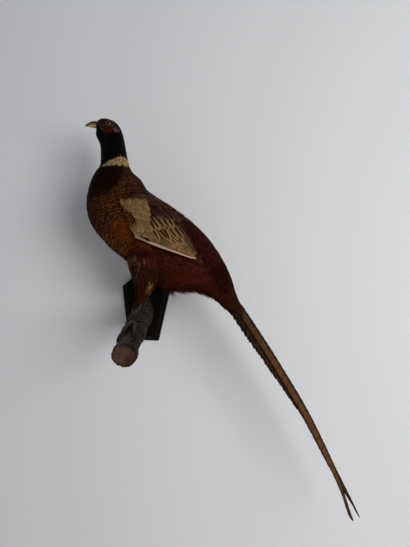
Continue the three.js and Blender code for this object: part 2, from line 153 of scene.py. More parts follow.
def wire(tree, shader, colour, roughness=None, height=None, strength=0.4, distance=0.0005):
    """Feeds a shader with its colour, and with roughness and a bump where they vary."""
    tree.links.new(colour, shader.inputs["Base Color"])
    if roughness is not None:
        tree.links.new(roughness, shader.inputs["Roughness"])
    if height is not None:
        bump = add(tree, "Bump", {"Height": height, "Strength": strength, "Distance": distance})
        tree.links.new(bump.outputs[0], shader.inputs["Normal"])


def stand(name, mesh, material, slot, *nodes, smooth=True):
    """Puts a finished mesh in the scene as a piece that stands for CAD nodes."""
    if isinstance(mesh, bmesh.types.BMesh):
        work, mesh = mesh, bpy.data.meshes.new(name)
        work.to_mesh(mesh)
        work.free()
    mesh.materials.append(material)
    mesh.polygons.foreach_set("use_smooth", [smooth] * len(mesh.polygons))
    piece = bpy.data.objects.new(name, mesh)
    bpy.context.scene.collection.objects.link(piece)
    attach(piece, "root")
    if nodes:
        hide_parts(*nodes)
    return piece


board = bmesh.new()
outline = BOARD_CORNERS + [(-x, z) for x, z in reversed(BOARD_CORNERS)]
front = board.faces.new([board.verts.new((x / 1000, 0, z / 1000)) for x, z in outline])
bmesh.ops.rotate(board, verts=board.verts, matrix=Matrix.Rotation(BOARD_TILT, 3, "Y"))
bmesh.ops.translate(board, verts=board.verts, vec=(BOARD_MIDDLE, 0, 0))
raised_slab_and_highlight = bmesh.ops.extrude_face_region(board, geom=[front])["geom"]
bmesh.ops.translate(
    board, verts=[v for v in raised_slab_and_highlight if isinstance(v, bmesh.types.BMVert)], vec=(0, -BOARD_SLAB, 0)
)
bmesh.ops.recalc_face_normals(board, faces=board.faces)
field = next(f for f in board.faces if abs(f.calc_center_median().y + BOARD_SLAB) < 1e-6)
for inward, up in BOARD_STEPS:
    bmesh.ops.inset_region(board, faces=[field], thickness=inward, use_even_offset=True)
    bmesh.ops.translate(board, verts=field.verts, vec=(0, -up, 0))
crisp = [e for e in board.edges if e.calc_face_angle(0) > 0.15 and e.verts[0].co.y + e.verts[1].co.y < -1e-4]
bmesh.ops.bevel(
    board, geom=crisp, offset=0.00035, segments=2, profile=0.5, affect="EDGES", material=-1
)
stain, tree, shader, place = finish(
    "stained_hardwood", Coat_Weight=0.02, Coat_Roughness=0.3, Specular_IOR_Level=0.04
)
fibres = grains(tree, mapped(tree, place, (9, 9, 0.5)), 95, 5, 0.65, 0.6)
pores = grains(tree, mapped(tree, place, (14, 14, 0.7)), 240, 2)
dust = grains(tree, place, 55, 4)
worn = eased(tree, add(tree, "NewGeometry").outputs["Pointiness"], 0.52, 0.6)
wood = ramp(tree, fibres, [(0.3, paint(5, 4, 4)), (0.55, paint(10, 7, 6)), (0.75, paint(18, 12, 10))])
wood = mixed(tree, eased(tree, pores, 0.62, 0.72), wood, paint(5, 4, 3))
wood = mixed(tree, times(tree, eased(tree, dust, 0.55, 0.85), 0.12), wood, paint(58, 52, 47))
wood = mixed(tree, times(tree, worn, 0.3), wood, paint(62, 44, 33))
wire(tree, shader, wood, eased(tree, dust, 0.3, 0.75, 0.3, 0.55), fibres, 0.25, 0.0003)
stand("wall_board", board, stain, "board", "board", smooth=False)

# ---------- branch ----------
# A cut length of a small tree in its bark, swollen where it meets the board and sawn square at the outer
# end. The bark has long cracks, a few knots and grey-green lichen. Screwed on from behind the board.
BRANCH_FOOT = Vector((0.0027, -0.0203, -0.0065))
BRANCH_TIP = Vector((-0.0032, -0.240, -0.0548))
BRANCH_GRAIN = 0.0013  # the size of one face of the bark
PITH = Vector((0.002, 0, 0.004))  # the rings grew off centre
RING_GAP = 0.0034
END_WOOD_RADIUS = 0.0178
END_TALLER, END_WIDER = 0.13, 0.06  # how much the sawn end flares, as shares of its size
FLAT_SIDE = 0.42  # how much of its right side the swollen foot lacks
UNDER_CLAW = Vector((-0.0185, -0.1955, -0.0365))  # the bark swells a little under one claw
KNOTS = [  # share of the length, turn in radians, then radius and height in mm
    (0.30, 1.9, 7.5, 1.6), (0.66, -1.1, 6.5, 1.5), (0.52, 2.9, 8.0, 1.7), (0.84, 0.9, 5.5, 1.2),
]


def cast(nodes, grain, rounds, grow=0.0003):
    """One closed mesh round some CAD nodes, a hair larger so that the gaps between them close."""
    work = bmesh.new()
    for node in nodes:
        part = bmesh.new()
        part.from_mesh(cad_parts[node].data)
        bmesh.ops.remove_doubles(part, verts=part.verts, dist=1e-6)
        part.normal_update()
        for vert in part.verts:
            vert.co += vert.normal * grow
        swollen = bpy.data.meshes.new("swollen")
        part.to_mesh(swollen)
        part.free()
        work.from_mesh(swollen)
        bpy.data.meshes.remove(swollen)
    rough = bpy.data.meshes.new("rough")
    work.to_mesh(rough)
    work.free()
    holder = bpy.data.objects.new("holder", rough)
    bpy.context.scene.collection.objects.link(holder)
    even = holder.modifiers.new("even", "REMESH")
    even.mode, even.voxel_size = "VOXEL", grain
    soft = holder.modifiers.new("soft", "SMOOTH")
    soft.factor, soft.iterations = 0.5, rounds
    shown = holder.evaluated_get(bpy.context.evaluated_depsgraph_get())
    made = bpy.data.meshes.new_from_object(shown)
    bpy.data.objects.remove(holder)
    bpy.data.meshes.remove(rough)
    return made


def corners(mesh):
    """A mesh's points and their normals, as arrays."""
    points, normals = (np.zeros(len(mesh.vertices) * 3, np.float32) for _ in range(2))
    mesh.vertices.foreach_get("co", points)
    mesh.vertices.foreach_get("normal", normals)
    return points.reshape(-1, 3).astype(float), normals.reshape(-1, 3).astype(float)


def off_axis(tree, place, point, axis):
    """How far each place of a material lies from a line."""
    off = add(tree, "VectorMath", {0: place, 1: point}, operation="SUBTRACT")
    square_off = add(tree, "VectorMath", {0: off.outputs[0], 1: axis}, operation="CROSS_PRODUCT")
    return add(tree, "VectorMath", {0: square_off.outputs[0]}, operation="LENGTH").outputs["Value"]


bark_mesh = cast(["branch"], BRANCH_GRAIN, 3, 0.0)
bark_axis = (BRANCH_TIP - BRANCH_FOOT).normalized()
bark_up = (Vector((0, 0, 1)) - bark_axis * bark_axis.z).normalized()
bark_side = bark_axis.cross(bark_up)
points, normals = corners(bark_mesh)
bark_length = (BRANCH_TIP - BRANCH_FOOT).length
for i, (point, normal) in enumerate(zip(points, normals)):
    off = Vector(point) - BRANCH_FOOT
    along, up, aside = off.dot(bark_axis), off.dot(bark_up), off.dot(bark_side)
    angle, reach = math.atan2(aside, up), math.hypot(up, aside)
    on_end = max(0.0, normal @ np.array(bark_axis)) * (along > bark_length * 0.9)
    ridge_at = Vector((math.cos(angle) * 3.4, math.sin(angle) * 3.4, along * 22))
    ridges = noise.turbulence(ridge_at, 4, False)
    fine = noise.turbulence(ridge_at * 3.1, 2, False)
    lift = -0.0016 * max(0.0, 0.62 - ridges) ** 0.8 + 0.0005 * (fine - 0.5)
    for where, turn, size, height in KNOTS:
        turned = (angle - turn + math.pi) % (2 * math.pi) - math.pi
        d = math.hypot(along - where * bark_length, reach * turned) / (size / 1000)
        lift += height / 1000 * (math.exp(-((d - 0.75) ** 2) * 9) - 0.7 * math.exp(-(d**2) * 7))
    lift += 0.0034 * math.exp(-(((Vector(point) - UNDER_CLAW).length / 0.0065) ** 2))
    sawn = 0.0004 * math.sin(aside * 5200 + 3 * noise.noise(Vector(point) * 160)) + 0.0006 * (ridges - 0.5)
    rim = 0.0009 * min(1.0, max(0.0, (reach - 0.0165) / 0.0015))
    points[i] += normal * (lift * (1 - on_end) + (sawn + rim - 0.0012) * on_end)
    flare = min(1.0, max(0.0, (along / bark_length - 0.82) / 0.13))
    taller = np.array(bark_up) * (up * END_TALLER - 0.0006)
    points[i] += flare * (taller + np.array(bark_side) * aside * END_WIDER)
spread = points[:, 0] - BRANCH_FOOT.x
near_board = np.clip((points[:, 1] + 0.150) / 0.110, 0, 1)
near_board = near_board * near_board * (3 - 2 * near_board)
points[:, 0] -= near_board * (FLAT_SIDE * np.maximum(0.0, spread) + 0.003)
bark_mesh.vertices.foreach_set("co", points.ravel())
bark, tree, shader, place = finish("bark_and_sawn_wood", 0.9, Specular_IOR_Level=0.1)
lean = math.atan2(bark_axis.z, bark_axis.y) + math.pi
straight = mapped(tree, place, turn=(-lean, 0, 0))
apart = add(tree, "SeparateXYZ", {0: straight})
streaks = grains(tree, mapped(tree, straight, (1, 0.22, 1)), 190, 6, 0.7, 0.8)
patches = grains(tree, place, 34, 4, 0.6)
specks = grains(tree, place, 420, 3, 0.7)
cracks = eased(tree, streaks, 0.38, 0.48)
skin_of_bark = ramp(tree, streaks, [
    (0.32, paint(11, 8, 6)), (0.45, paint(29, 24, 18)), (0.58, paint(47, 39, 30)), (0.75, paint(68, 57, 46)),
])
lichen = ramp(tree, specks, [
    (0.35, paint(20, 20, 15)), (0.52, paint(44, 44, 33)), (0.66, paint(112, 108, 84)),
])
rearward = eased(tree, apart.outputs["X"], -0.012, 0.016)
thicker = plus(tree, times(tree, rearward, 0.6), 0.25)
covered = times(tree, eased(tree, patches, 0.42, 0.58), thicker)
rosy = times(tree, minus(tree, 1.0, rearward), eased(tree, patches, 0.35, 0.6))
skin_of_bark = mixed(tree, times(tree, rosy, 0.45), skin_of_bark, paint(86, 56, 52))
skin_of_bark = mixed(tree, covered, skin_of_bark, lichen)
skin_of_bark = mixed(tree, cracks, paint(14, 10, 8), skin_of_bark)
sawn_face = grains(tree, mapped(tree, straight, (1, 0.02, 1)), 130, 5, 0.65, 1.2)
saw_marks = grains(tree, mapped(tree, straight, (0.4, 1, 2.6)), 330, 2)
end_wood = ramp(tree, sawn_face, [
    (0.3, paint(44, 29, 21)), (0.48, paint(70, 50, 38)), (0.62, paint(92, 66, 50)), (0.8, paint(60, 42, 32)),
])
end_wood = mixed(tree, eased(tree, saw_marks, 0.5, 0.7, 0, 0.35), end_wood, paint(60, 43, 34))
from_pith = off_axis(tree, place, BRANCH_TIP + PITH, bark_axis)
ring_count = times(tree, from_pith, 2 * math.pi / RING_GAP)
ring_count = plus(tree, ring_count, times(tree, patches, 7.0))
ring = eased(tree, calc(tree, "SINE", ring_count), -0.2, 0.8, 0, 0.65)
end_wood = mixed(tree, eased(tree, patches, 0.45, 0.62, 0, 0.45), end_wood, paint(118, 92, 78))
end_wood = mixed(tree, ring, end_wood, paint(26, 16, 12))
outward = add(tree, "NewGeometry").outputs["True Normal"]
facing = add(tree, "VectorMath", {0: outward, 1: bark_axis}, operation="DOT_PRODUCT")
from_axis = off_axis(tree, place, BRANCH_TIP, bark_axis)
wobble = times(tree, minus(tree, patches, 0.5), 0.006)
inside_bark = eased(tree, plus(tree, from_axis, wobble), END_WOOD_RADIUS, END_WOOD_RADIUS - 0.0012)
on_cut = times(tree, eased(tree, facing.outputs["Value"], 0.55, 0.8), inside_bark)
roughened = plus(tree, streaks, times(tree, specks, 0.4))
wire(tree, shader, mixed(tree, on_cut, skin_of_bark, end_wood), None, roughened, 0.7, 0.0012)
stand("perch", bark_mesh, bark, "bark", "branch")

# ---------- skin ----------
# One tanned skin drawn over a carved body, from the bill to the tail, with both thighs and both folded wings.
# It lies under the coat by the coat's depth and is dyed by the same markings as the feathers that cover it.
MIDLINE = -0.124
SIDES = {"left": -1, "right": 1}
TRUNK = ["head", "neck", "neck_ring", "trunk", "rump"]
FACE = [f"{part}_{side}" for part in ("eye", "wattle") for side in SIDES]
LIMBS = [f"thigh_{side}" for side in SIDES]
WINGS = [f"wing_{side}_{part}" for side in SIDES for part in ("coverts", "secondaries", "primaries")]
SECTIONS = np.array([  # down the body: x and z of the back, x and z of the underside, in mm
    (-75.2, 357.6, -74.8, 344.0), (-69.5, 361.5, -76.5, 338.0), (-60.4, 363.5, -78.0, 330.0),
    (-47.6, 359.8, -73.0, 321.0), (-36.2, 349.0, -70.0, 312.5), (-29.0, 333.6, -69.0, 302.0),
    (-25.0, 314.5, -68.8, 289.5), (-22.0, 296.5, -69.0, 278.5), (-17.0, 273.3, -71.5, 270.5),
    (-8.0, 260.8, -81.5, 257.0), (9.0, 247.8, -89.0, 238.0), (17.5, 230.0, -94.5, 210.0),
    (38.5, 216.4, -92.8, 180.0), (64.5, 198.8, -79.5, 152.5), (90.5, 180.3, -56.0, 127.0),
    (114.6, 159.9, -28.0, 103.5), (135.2, 137.6, 4.0, 78.0), (150.5, 115.4, 43.0, 49.0),
    (163.3, 93.0, 83.0, 41.0), (174.2, 68.8, 113.0, 41.5), (181.2, 44.8, 141.0, 28.5),
    (187.2, 27.2, 161.0, 10.0), (195.0, 14.4, 174.5, -3.5),
]) / 1000
ROWS_PER_SECTION = 9
COLUMNS = 120
BILL_BASE = (-0.0746, 0.351, 0.0062, 0.0066)  # where the coat starts: x, z, and half its width and height
EYE_X, EYE_Z = -0.0508, 0.3492
CHIN_ROWS = 17
COAT_DEPTH = [(0, 0.8), (3, 0.9), (5, 1.5), (8, 2.0), (10, 2.8), (16, 3.2), (20, 2.6), (22, 1.8)]  # mm
THIGH_SECTIONS = np.array([  # down each thigh, from its foot: x, z, and half of its depth and width, in mm
    (17, 122, 34, 22), (17, 106, 33, 22), (17.5, 91, 29.5, 20.5), (18, 77, 25.5, 18.5),
    (16.8, 62.7, 19.8, 15), (12.8, 48.5, 12.6, 11), (9.6, 39.5, 9.6, 8.5), (7.6, 33.5, 7.4, 6.6),
])
THIGH_FEET = {"left": (1.4, -152, -9), "right": (2.8, -104, 3.5)}


def between(table, rows):
    """Values between the rows of a table, on a smooth curve through them."""
    table = np.asarray(table, float)
    k = np.clip(rows.astype(int), 0, len(table) - 2)
    t = (rows - k)[:, None]
    a, b, c, d = (table[np.clip(k + step, 0, len(table) - 1)] for step in (-1, 0, 1, 2))
    return b + 0.5 * t * (c - a + t * (2 * a - 5 * b + 4 * c - d + t * (3 * (b - c) + d - a)))


def share(value, low, high):
    """0 below low, 1 above high, and smooth between them. High may be the lower one."""
    t = np.clip((value - low) / (high - low), 0, 1)
    return t * t * (3 - 2 * t)


def even_out(grid, loops, rounds):
    """Takes the facets out of a lattice of points."""
    for _ in range(rounds):
        if loops:
            wide = np.concatenate([grid[:, -1:], grid, grid[:, :1]], 1)
        else:
            wide = np.pad(grid, ((0, 0), (1, 1), (0, 0)), "edge")
        grid = (wide[:, :-2] + 2 * wide[:, 1:-1] + wide[:, 2:]) / 4
        tall = np.concatenate([2 * grid[:1] - grid[1:2], grid, 2 * grid[-1:] - grid[-2:-1]])
        grid = (tall[:-2] + 2 * tall[1:-1] + tall[2:]) / 4
    return grid


class Surface:
    """A lattice over a shape: rows run the way the feathers lie, columns run across it."""

    def __init__(self, grid, loops, outward=None, rounds=3):
        self.grid, self.loops = even_out(grid, loops, rounds), loops
        self.down = np.gradient(self.grid, axis=0)
        if loops:
            ring = np.concatenate([self.grid[:, -1:], self.grid, self.grid[:, :1]], 1)
            self.across = (ring[:, 2:] - ring[:, :-2]) / 2
        else:
            self.across = np.gradient(self.grid, axis=1)
        self.normal = np.cross(self.across, self.down)
        self.normal /= np.linalg.norm(self.normal, axis=2, keepdims=True) + 1e-12
        out = self.grid - self.grid.mean(1, keepdims=True) if outward is None else np.asarray(outward, float)
        if (self.normal * out).sum(2).mean() < 0:
            self.normal = -self.normal

    def read(self, table, row, column):
        """A lattice's value between its points."""
        rows, columns = table.shape[:2]
        row = np.clip(row, 0, rows - 1.001)
        r = row.astype(int)
        if self.loops:
            column = column % columns
            c = column.astype(int) % columns
            d = (c + 1) % columns
        else:
            column = np.clip(column, 0, columns - 1.001)
            c = column.astype(int)
            d = c + 1
        u, v = (row - r)[..., None], (column - np.floor(column))[..., None]
        here = table[r, c] * (1 - v) + table[r, d] * v
        ahead = table[r + 1, c] * (1 - v) + table[r + 1, d] * v
        return here * (1 - u) + ahead * u

    def at(self, row, column):
        """A point on the shape and its normal. Past the last row it runs straight on."""
        last = self.grid.shape[0] - 1.001
        spare = (row - np.clip(row, 0, last))[..., None]
        point = self.read(self.grid, row, column) + spare * self.read(self.down, row, column)
        if not self.loops:
            side = (column - np.clip(column, 0, self.grid.shape[1] - 1.001))[..., None]
            point = point + side * self.read(self.across, row, column)
        return point, self.read(self.normal, row, column)


def ray_lattice(tree, middles, ways, reach):
    """Where rays from each middle, along its own ways, leave a shape. A miss takes the row before it."""
    rows, far = [], np.full(len(ways[0]), reach * 0.5)
    for middle, fan in zip(middles, ways):
        start = Vector(middle) + Vector((1, 3, 2)) * 1e-5
        hits = [tree.ray_cast(start, Vector(way), reach)[3] for way in fan]
        far = np.array([hit if hit and hit < 1.4 * last + 0.004 else last for hit, last in zip(hits, far)])
        rows.append(np.array(middle) + np.array(fan) * far[:, None])
    return np.array(rows)


def fan_round(up, across, count):
    """Directions all round a line, from up by way of across."""
    turn = 2 * np.pi * np.arange(count) / count
    return [np.cos(a) * up + np.sin(a) * across for a in turn]


trunk_mesh = cast(TRUNK + FACE, 0.0016, 4)
rows = np.arange((len(SECTIONS) - 1) * ROWS_PER_SECTION + 1) / ROWS_PER_SECTION
lines = between(SECTIONS, rows)
middles = np.stack([
    (lines[:, 0] + lines[:, 2]) / 2, np.full(len(rows), MIDLINE), (lines[:, 1] + lines[:, 3]) / 2,
], 1)
ups = np.stack([lines[:, 0] - lines[:, 2], np.zeros(len(rows)), lines[:, 1] - lines[:, 3]], 1)
ups /= np.linalg.norm(ups, axis=1, keepdims=True)
middles[0] += (middles[1] - middles[0]) * 0.35
middles[-1] += (middles[-2] - middles[-1]) * 0.35
trunk_tree = BVHTree.FromPolygons(
    [v.co for v in trunk_mesh.vertices], [p.vertices[:] for p in trunk_mesh.polygons]
)
lattice = ray_lattice(trunk_tree, middles, [fan_round(u, np.array((0, -1.0, 0)), COLUMNS) for u in ups], 0.2)
# The rows of the chin are spread evenly from the bill to the throat, and put on the skin.
turn = 2 * np.pi * np.arange(COLUMNS) / COLUMNS
bill_ring = np.stack([
    BILL_BASE[0] + 0 * turn, MIDLINE - BILL_BASE[2] * np.sin(turn),
    BILL_BASE[1] + BILL_BASE[3] * np.cos(turn),
], 1)
below = share(np.cos(turn), -0.1, -0.6)[:, None]
for row in range(CHIN_ROWS):
    spread = bill_ring + (lattice[CHIN_ROWS] - bill_ring) * row / CHIN_ROWS
    on_skin = np.array([trunk_tree.find_nearest(Vector(p))[0] for p in spread])
    lattice[row] += (on_skin - lattice[row]) * below
body = Surface(lattice, True)
body.grid -= body.normal * 0.001


def look_of(ground, rim, rim_share, heart, heart_share, heart_end, rim_start):
    """A look as one row of numbers. On a quill the heart is its bars, and heart_end how many there are."""
    return np.array([*ground[:3], *rim[:3], rim_share, *heart[:3], heart_share, heart_end, rim_start])


# The coat's colours. Each look is the ground of a feather, then its rim and its heart with how strongly they
# show, then where the heart ends and the rim starts, as shares of the way from the middle to the edge.
LOOKS = {
    "crown": (paint(44, 34, 22), paint(20, 14, 9), 0.6, paint(34, 38, 22), 0.3, 0.5, 0.78),
    "bottle_green": (paint(3, 5, 5), paint(1, 1, 3), 0.7, paint(4, 6, 11), 0.5, 0.5, 0.8),
    "ear_coverts": (paint(100, 76, 66), paint(50, 30, 26), 0.6, paint(124, 102, 92), 0.4, 0.5, 0.75),
    "brow": (paint(52, 44, 37), paint(22, 19, 15), 0.6, paint(72, 60, 50), 0.3, 0.5, 0.75),
    "collar": (paint(148, 122, 80), paint(178, 154, 108), 0.5, paint(96, 70, 38), 0.6, 0.5, 0.7),
    "collar_front": (paint(118, 112, 94), paint(142, 138, 120), 0.5, paint(72, 66, 50), 0.6, 0.5, 0.7),
    "upper_breast": (paint(29, 8, 4), paint(10, 3, 3), 0.85, paint(30, 9, 5), 0.6, 0.6, 0.8),
    "breast": (paint(114, 68, 30), paint(8, 3, 3), 1.0, paint(56, 23, 8), 1.0, 0.7, 0.8),
    "breast_edge": (paint(50, 15, 7), paint(10, 3, 3), 0.95, paint(32, 8, 5), 0.8, 0.62, 0.82),
    "mantle": (paint(114, 70, 34), paint(16, 5, 3), 1.0, paint(34, 12, 5), 1.0, 0.72, 0.8),
    "upper_back": (paint(84, 40, 18), paint(16, 4, 2), 0.95, paint(34, 11, 5), 1.0, 0.72, 0.8),
    "scapulars": (paint(86, 48, 32), paint(30, 8, 5), 0.95, paint(26, 7, 4), 1.0, 0.73, 0.8),
    "flank": (paint(92, 40, 9), paint(36, 12, 4), 0.7, paint(98, 48, 13), 0.4, 0.6, 0.88),
    "spotted_flank": (paint(124, 78, 28), paint(9, 5, 4), 1.0, paint(70, 32, 12), 0.8, 0.6, 0.8),
    "side": (paint(58, 19, 9), paint(32, 9, 7), 0.6, paint(70, 27, 10), 0.5, 0.6, 0.82),
    "belly": (paint(66, 22, 8), paint(44, 13, 6), 0.6, paint(76, 30, 10), 0.5, 0.5, 0.78),
    "vent": (paint(54, 19, 8), paint(24, 9, 6), 0.6, paint(68, 27, 10), 0.5, 0.5, 0.75),
    "under_tail": (paint(46, 19, 11), paint(17, 8, 6), 0.6, paint(64, 31, 16), 0.5, 0.5, 0.75),
    "lower_back": (paint(40, 9, 4), paint(50, 15, 6), 0.6, paint(22, 7, 3), 0.8, 0.6, 0.82),
    "rump": (paint(44, 11, 5), paint(58, 19, 7), 0.5, paint(26, 5, 4), 0.7, 0.55, 0.82),
    "tail_coverts": (paint(56, 22, 9), paint(70, 36, 16), 0.6, paint(36, 11, 6), 0.6, 0.5, 0.78),
    "faded_thigh": (paint(71, 61, 44), paint(44, 33, 22), 0.6, paint(87, 77, 61), 0.4, 0.5, 0.75),
    "thigh": (paint(46, 19, 7), paint(28, 9, 4), 0.6, paint(66, 33, 11), 0.5, 0.5, 0.78),
    "hock": (paint(106, 72, 38), paint(58, 32, 14), 0.8, paint(160, 130, 90), 0.7, 0.6, 0.72),
}
LOOKS = {name: look_of(*colours) for name, colours in LOOKS.items()}

# The upper edge of the white collar and the lower edge of the dark upper breast, as x and z in mm.
COLLAR_TOP = [
    (-70, 266), (-61, 270.4), (-56, 273.4), (-50, 277.6), (-41, 281), (-37, 283), (-33, 286.4), (-25, 288.6),
    (-20, 286.4), (-15, 281),
]
DARK_BIB = [(-80, 205), (-44, 207), (-28, 226), (-22, 246), (-17, 280)]


def ripple(points, size):
    """A smooth irregular field from about -1 to 1, with lumps of some size."""
    x, y, z = points[:, 0] / size, points[:, 1] / size, points[:, 2] / size
    along_x = np.sin(1.7 * x + 2.1 * np.sin(1.3 * z + 0.8 * y))
    along_z = np.sin(2.3 * z - 1.9 * np.sin(0.9 * x + 1.1 * y) + 1)
    along_y = np.sin(1.9 * y + 1.6 * np.sin(1.7 * z) + 2.4)
    return (along_x + along_z + along_y) / 3


def markings(points):
    """The look of the coat at some points, on either side of the bird."""
    x, z = points[:, 0] * 1000, points[:, 2] * 1000
    out = np.abs(points[:, 1] - MIDLINE) * 1000
    wide, fine = ripple(points, 0.011), ripple(points, 0.0035)
    look = np.tile(LOOKS["breast"], (len(points), 1))

    def lay_on(name, mask):
        """Brings the coat to one look under a mask."""
        look[:] += (LOOKS[name] - look) * np.clip(mask, 0, 1)[:, None]

    def patch(at, reach, lean=0.0):
        """A soft-edged oval on each side of the bird."""
        c, s = math.cos(math.radians(lean)), math.sin(math.radians(lean))
        dx, dz = x - at[0], z - at[1]
        d = np.hypot((dx * c - dz * s) / reach[0], (dx * s + dz * c) / reach[1]) + 0.1 * wide
        return share(d, 1.35, 0.65)

    lay_on("breast_edge", share(x + 0.22 * z + 5 * wide, -34, -58))
    lay_on("mantle", share(x + 0.42 * (z - 235) + 4 * wide, -30, -14))
    below_wing = z + 0.41 * x
    lay_on("upper_back", share(x + 0.5 * (z - 205) + 5 * wide, 14, 30) * share(below_wing, 150, 160))
    lay_on("flank", patch((-17, 148), (21, 14), 35))
    lay_on("spotted_flank", patch((-40, 125), (26, 14), 42))
    lay_on("side", share(below_wing + 3 * wide, 148, 138) * share(x + 3 * wide, -14, 0))
    lay_on("flank", patch((30, 120), (15, 5), 22))
    lay_on("belly", share(below_wing + 5 * wide, 124, 106) * share(x + 4 * wide, 12, 34))
    lay_on("lower_back", share(x + 0.55 * (z - 165) + 4 * wide, 74, 88))
    lay_on("rump", share(x + 0.35 * (z - 140) + 6 * wide, 96, 122) * share(z - 0.35 * x + 6 * wide, 34, 62))
    lay_on("tail_coverts", share(z - 0.9 * (x - 170) + 5 * wide, 62, 30) * share(x, 136, 158))
    lay_on("vent", share(z + 4 * wide, 60, 46) * share(x, 52, 90) * share(x, 150, 120))
    past_vent = share(x - 0.9 * z + 4 * wide, 98, 118)
    lay_on("under_tail", past_vent * share(z - 0.9 * (x - 150) + 3 * wide, 22, 2))
    lay_on("upper_breast", 0.5 * share(z + 4 * wide, 226, 250))
    lay_on("upper_breast", share(z - np.interp(x, *zip(*DARK_BIB)) + 6 * wide, -12, 13))
    collar = share(z - 0.05 * x + 1.2 * fine, 270.2, 271.4)
    lay_on("collar", collar)
    lay_on("collar_front", collar * share(x + 3 * fine, -46, -58))
    top = np.interp(x, *zip(*COLLAR_TOP)) + 0.7 * fine + 0.9 * wide
    lay_on("bottle_green", share(z, top - 1.0, top + 1.0))
    lay_on("crown", share(z - 0.35 * x + 1.5 * wide, 367, 374))
    for foot in THIGH_FEET.values():
        level = z - foot[2]
        at = [np.interp(level, THIGH_SECTIONS[::-1, 1], THIGH_SECTIONS[::-1, k]) for k in (0, 2, 3)]
        side_on = (x - foot[0] - at[0]) / at[1]
        near = np.hypot(side_on, (points[:, 1] * 1000 - foot[1]) / at[2]) + share(level, 78, 112)
        thigh_mask = share(near + 0.08 * wide, 1.6, 1.2)
        lay_on("thigh", thigh_mask)
        lay_on("side", thigh_mask * share(level + 6 * wide, 78, 96) * 0.7)
        lay_on("side", thigh_mask * share(level + 4 * wide, 46, 36) * 0.6)
        off_hock = np.hypot((side_on - 0.58) / 0.3, (level - 57) / 8)
        lay_on("hock", thigh_mask * share(off_hock + 0.2 * wide, 1.25, 0.7))
    lay_on("brow", patch((-38, 345.5), (10, 4.2), 38) * share(out, 5, 8))
    lay_on("ear_coverts", patch((-36, 336.5), (5.0, 4.0), 10) * share(out, 7, 10))
    return look


skin_mesh = cast(TRUNK + FACE + LIMBS + WINGS, 0.0016, 5)
points, normals = corners(skin_mesh)
nearest = np.argmin(
    np.hypot(points[:, None, 0] - middles[None, ::6, 0], points[:, None, 2] - middles[None, ::6, 2]), axis=1
) * 6 / ROWS_PER_SECTION
depth = np.interp(nearest, *zip(*COAT_DEPTH)) / 1000 + 0.0003
depth += 0.002 * share(np.hypot(points[:, 0] - EYE_X, points[:, 2] - EYE_Z), 0.0085, 0.006)
skin_points = points - normals * depth[:, None]
skin_mesh.vertices.foreach_set("co", skin_points.ravel())
COLOUR_SPANS = {"ground": (0, 3), "rim": (3, 7), "heart": (7, 11)}


def dye(mesh, looks, tones):
    """Writes the markings on a mesh's points, for its material to read."""
    bands = np.zeros((len(looks), 3))
    for name, (start, end) in COLOUR_SPANS.items():
        rgba = np.ones((len(looks), 4), np.float32)
        rgba[:, : end - start] = looks[:, start:end]
        mesh.attributes.new(name, "FLOAT_COLOR", "POINT").data.foreach_set("color", rgba.ravel())
    bands[:, 0], bands[:, 1], bands[:, 2] = looks[:, 11], looks[:, 12], tones
    mesh.attributes.new("bands", "FLOAT_VECTOR", "POINT").data.foreach_set(
        "vector", bands.astype(np.float32).ravel()
    )


dye(skin_mesh, markings(skin_points), np.full(len(points), 0.8))
skin_finish, tree, shader, place = finish("dyed_skin", 0.85, Specular_IOR_Level=0.05)
ground = add(tree, "Attribute", attribute_name="ground")
rim = add(tree, "Attribute", attribute_name="rim")
cells = add(tree, "TexVoronoi", {"Vector": place, "Scale": 240})
edge = times(tree, eased(tree, cells.outputs["Distance"], 0.35, 0.7), rim.outputs["Alpha"])
down = grains(tree, place, 700, 3, 0.7)
tint = mixed(tree, edge, ground.outputs["Color"], rim.outputs["Color"])
tint = mixed(tree, eased(tree, down, 0.3, 0.7, 0.55, 0.15), tint, paint(8, 5, 4))
wire(tree, shader, tint, None, plus(tree, cells.outputs["Distance"], down), 0.5, 0.0008)
stand("skin", skin_mesh, skin_finish, "body_feathers", *TRUNK, *LIMBS, *WINGS)

# ---------- coat of the head, neck, trunk and rump ----------
# Contour feathers in staggered rows that overlap like tiles towards the tail. Each is a thin closed vane,
# bowed across and laid along the skin, from three millimetres long on the crown to three centimetres on the
# rump.
FEATHER_SIZES = np.array([  # section of the body, then length, half width, row step and lift, in mm
    (0, 3.0, 1.0, 1.1, 0.3), (2, 3.8, 1.25, 1.5, 0.35), (4.4, 6.0, 1.9, 2.1, 0.4), (7, 9.0, 2.7, 2.9, 0.5),
    (8, 11.0, 3.1, 3.3, 0.5), (9, 13.5, 3.4, 3.8, 0.5), (10.5, 17.0, 4.4, 5.2, 0.5),
    (13, 20.5, 5.2, 6.3, 0.5), (15, 24.0, 6.0, 7.0, 0.6), (17, 26.0, 5.6, 6.6, 0.7),
    (19, 28.0, 4.8, 6.0, 0.7), (22, 30.0, 4.4, 6.0, 0.4),
])
BAKE_PATCH = 0.003  # the size of a small feather's place on the baking map
rng = np.random.default_rng(7)


class Shape:
    """A feather's mesh as arrays: along 0 to 1, across and up in half widths."""

    def __init__(self, work):
        bmesh.ops.recalc_face_normals(work, faces=work.faces)
        work.verts.index_update()
        self.points = np.array([v.co for v in work.verts])
        self.loops = np.array([v.index for f in work.faces for v in f.verts])
        self.counts = np.array([len(f.verts) for f in work.faces])
        under = [sum(v.co.z for v in f.verts) / len(f.verts) < 1e-5 and f.normal.z < 0 for f in work.faces]
        self.under = np.repeat(under, self.counts)
        self.vane = np.stack([0.5 + 0.5 * self.points[:, 1], self.points[:, 0]], 1)
        work.free()


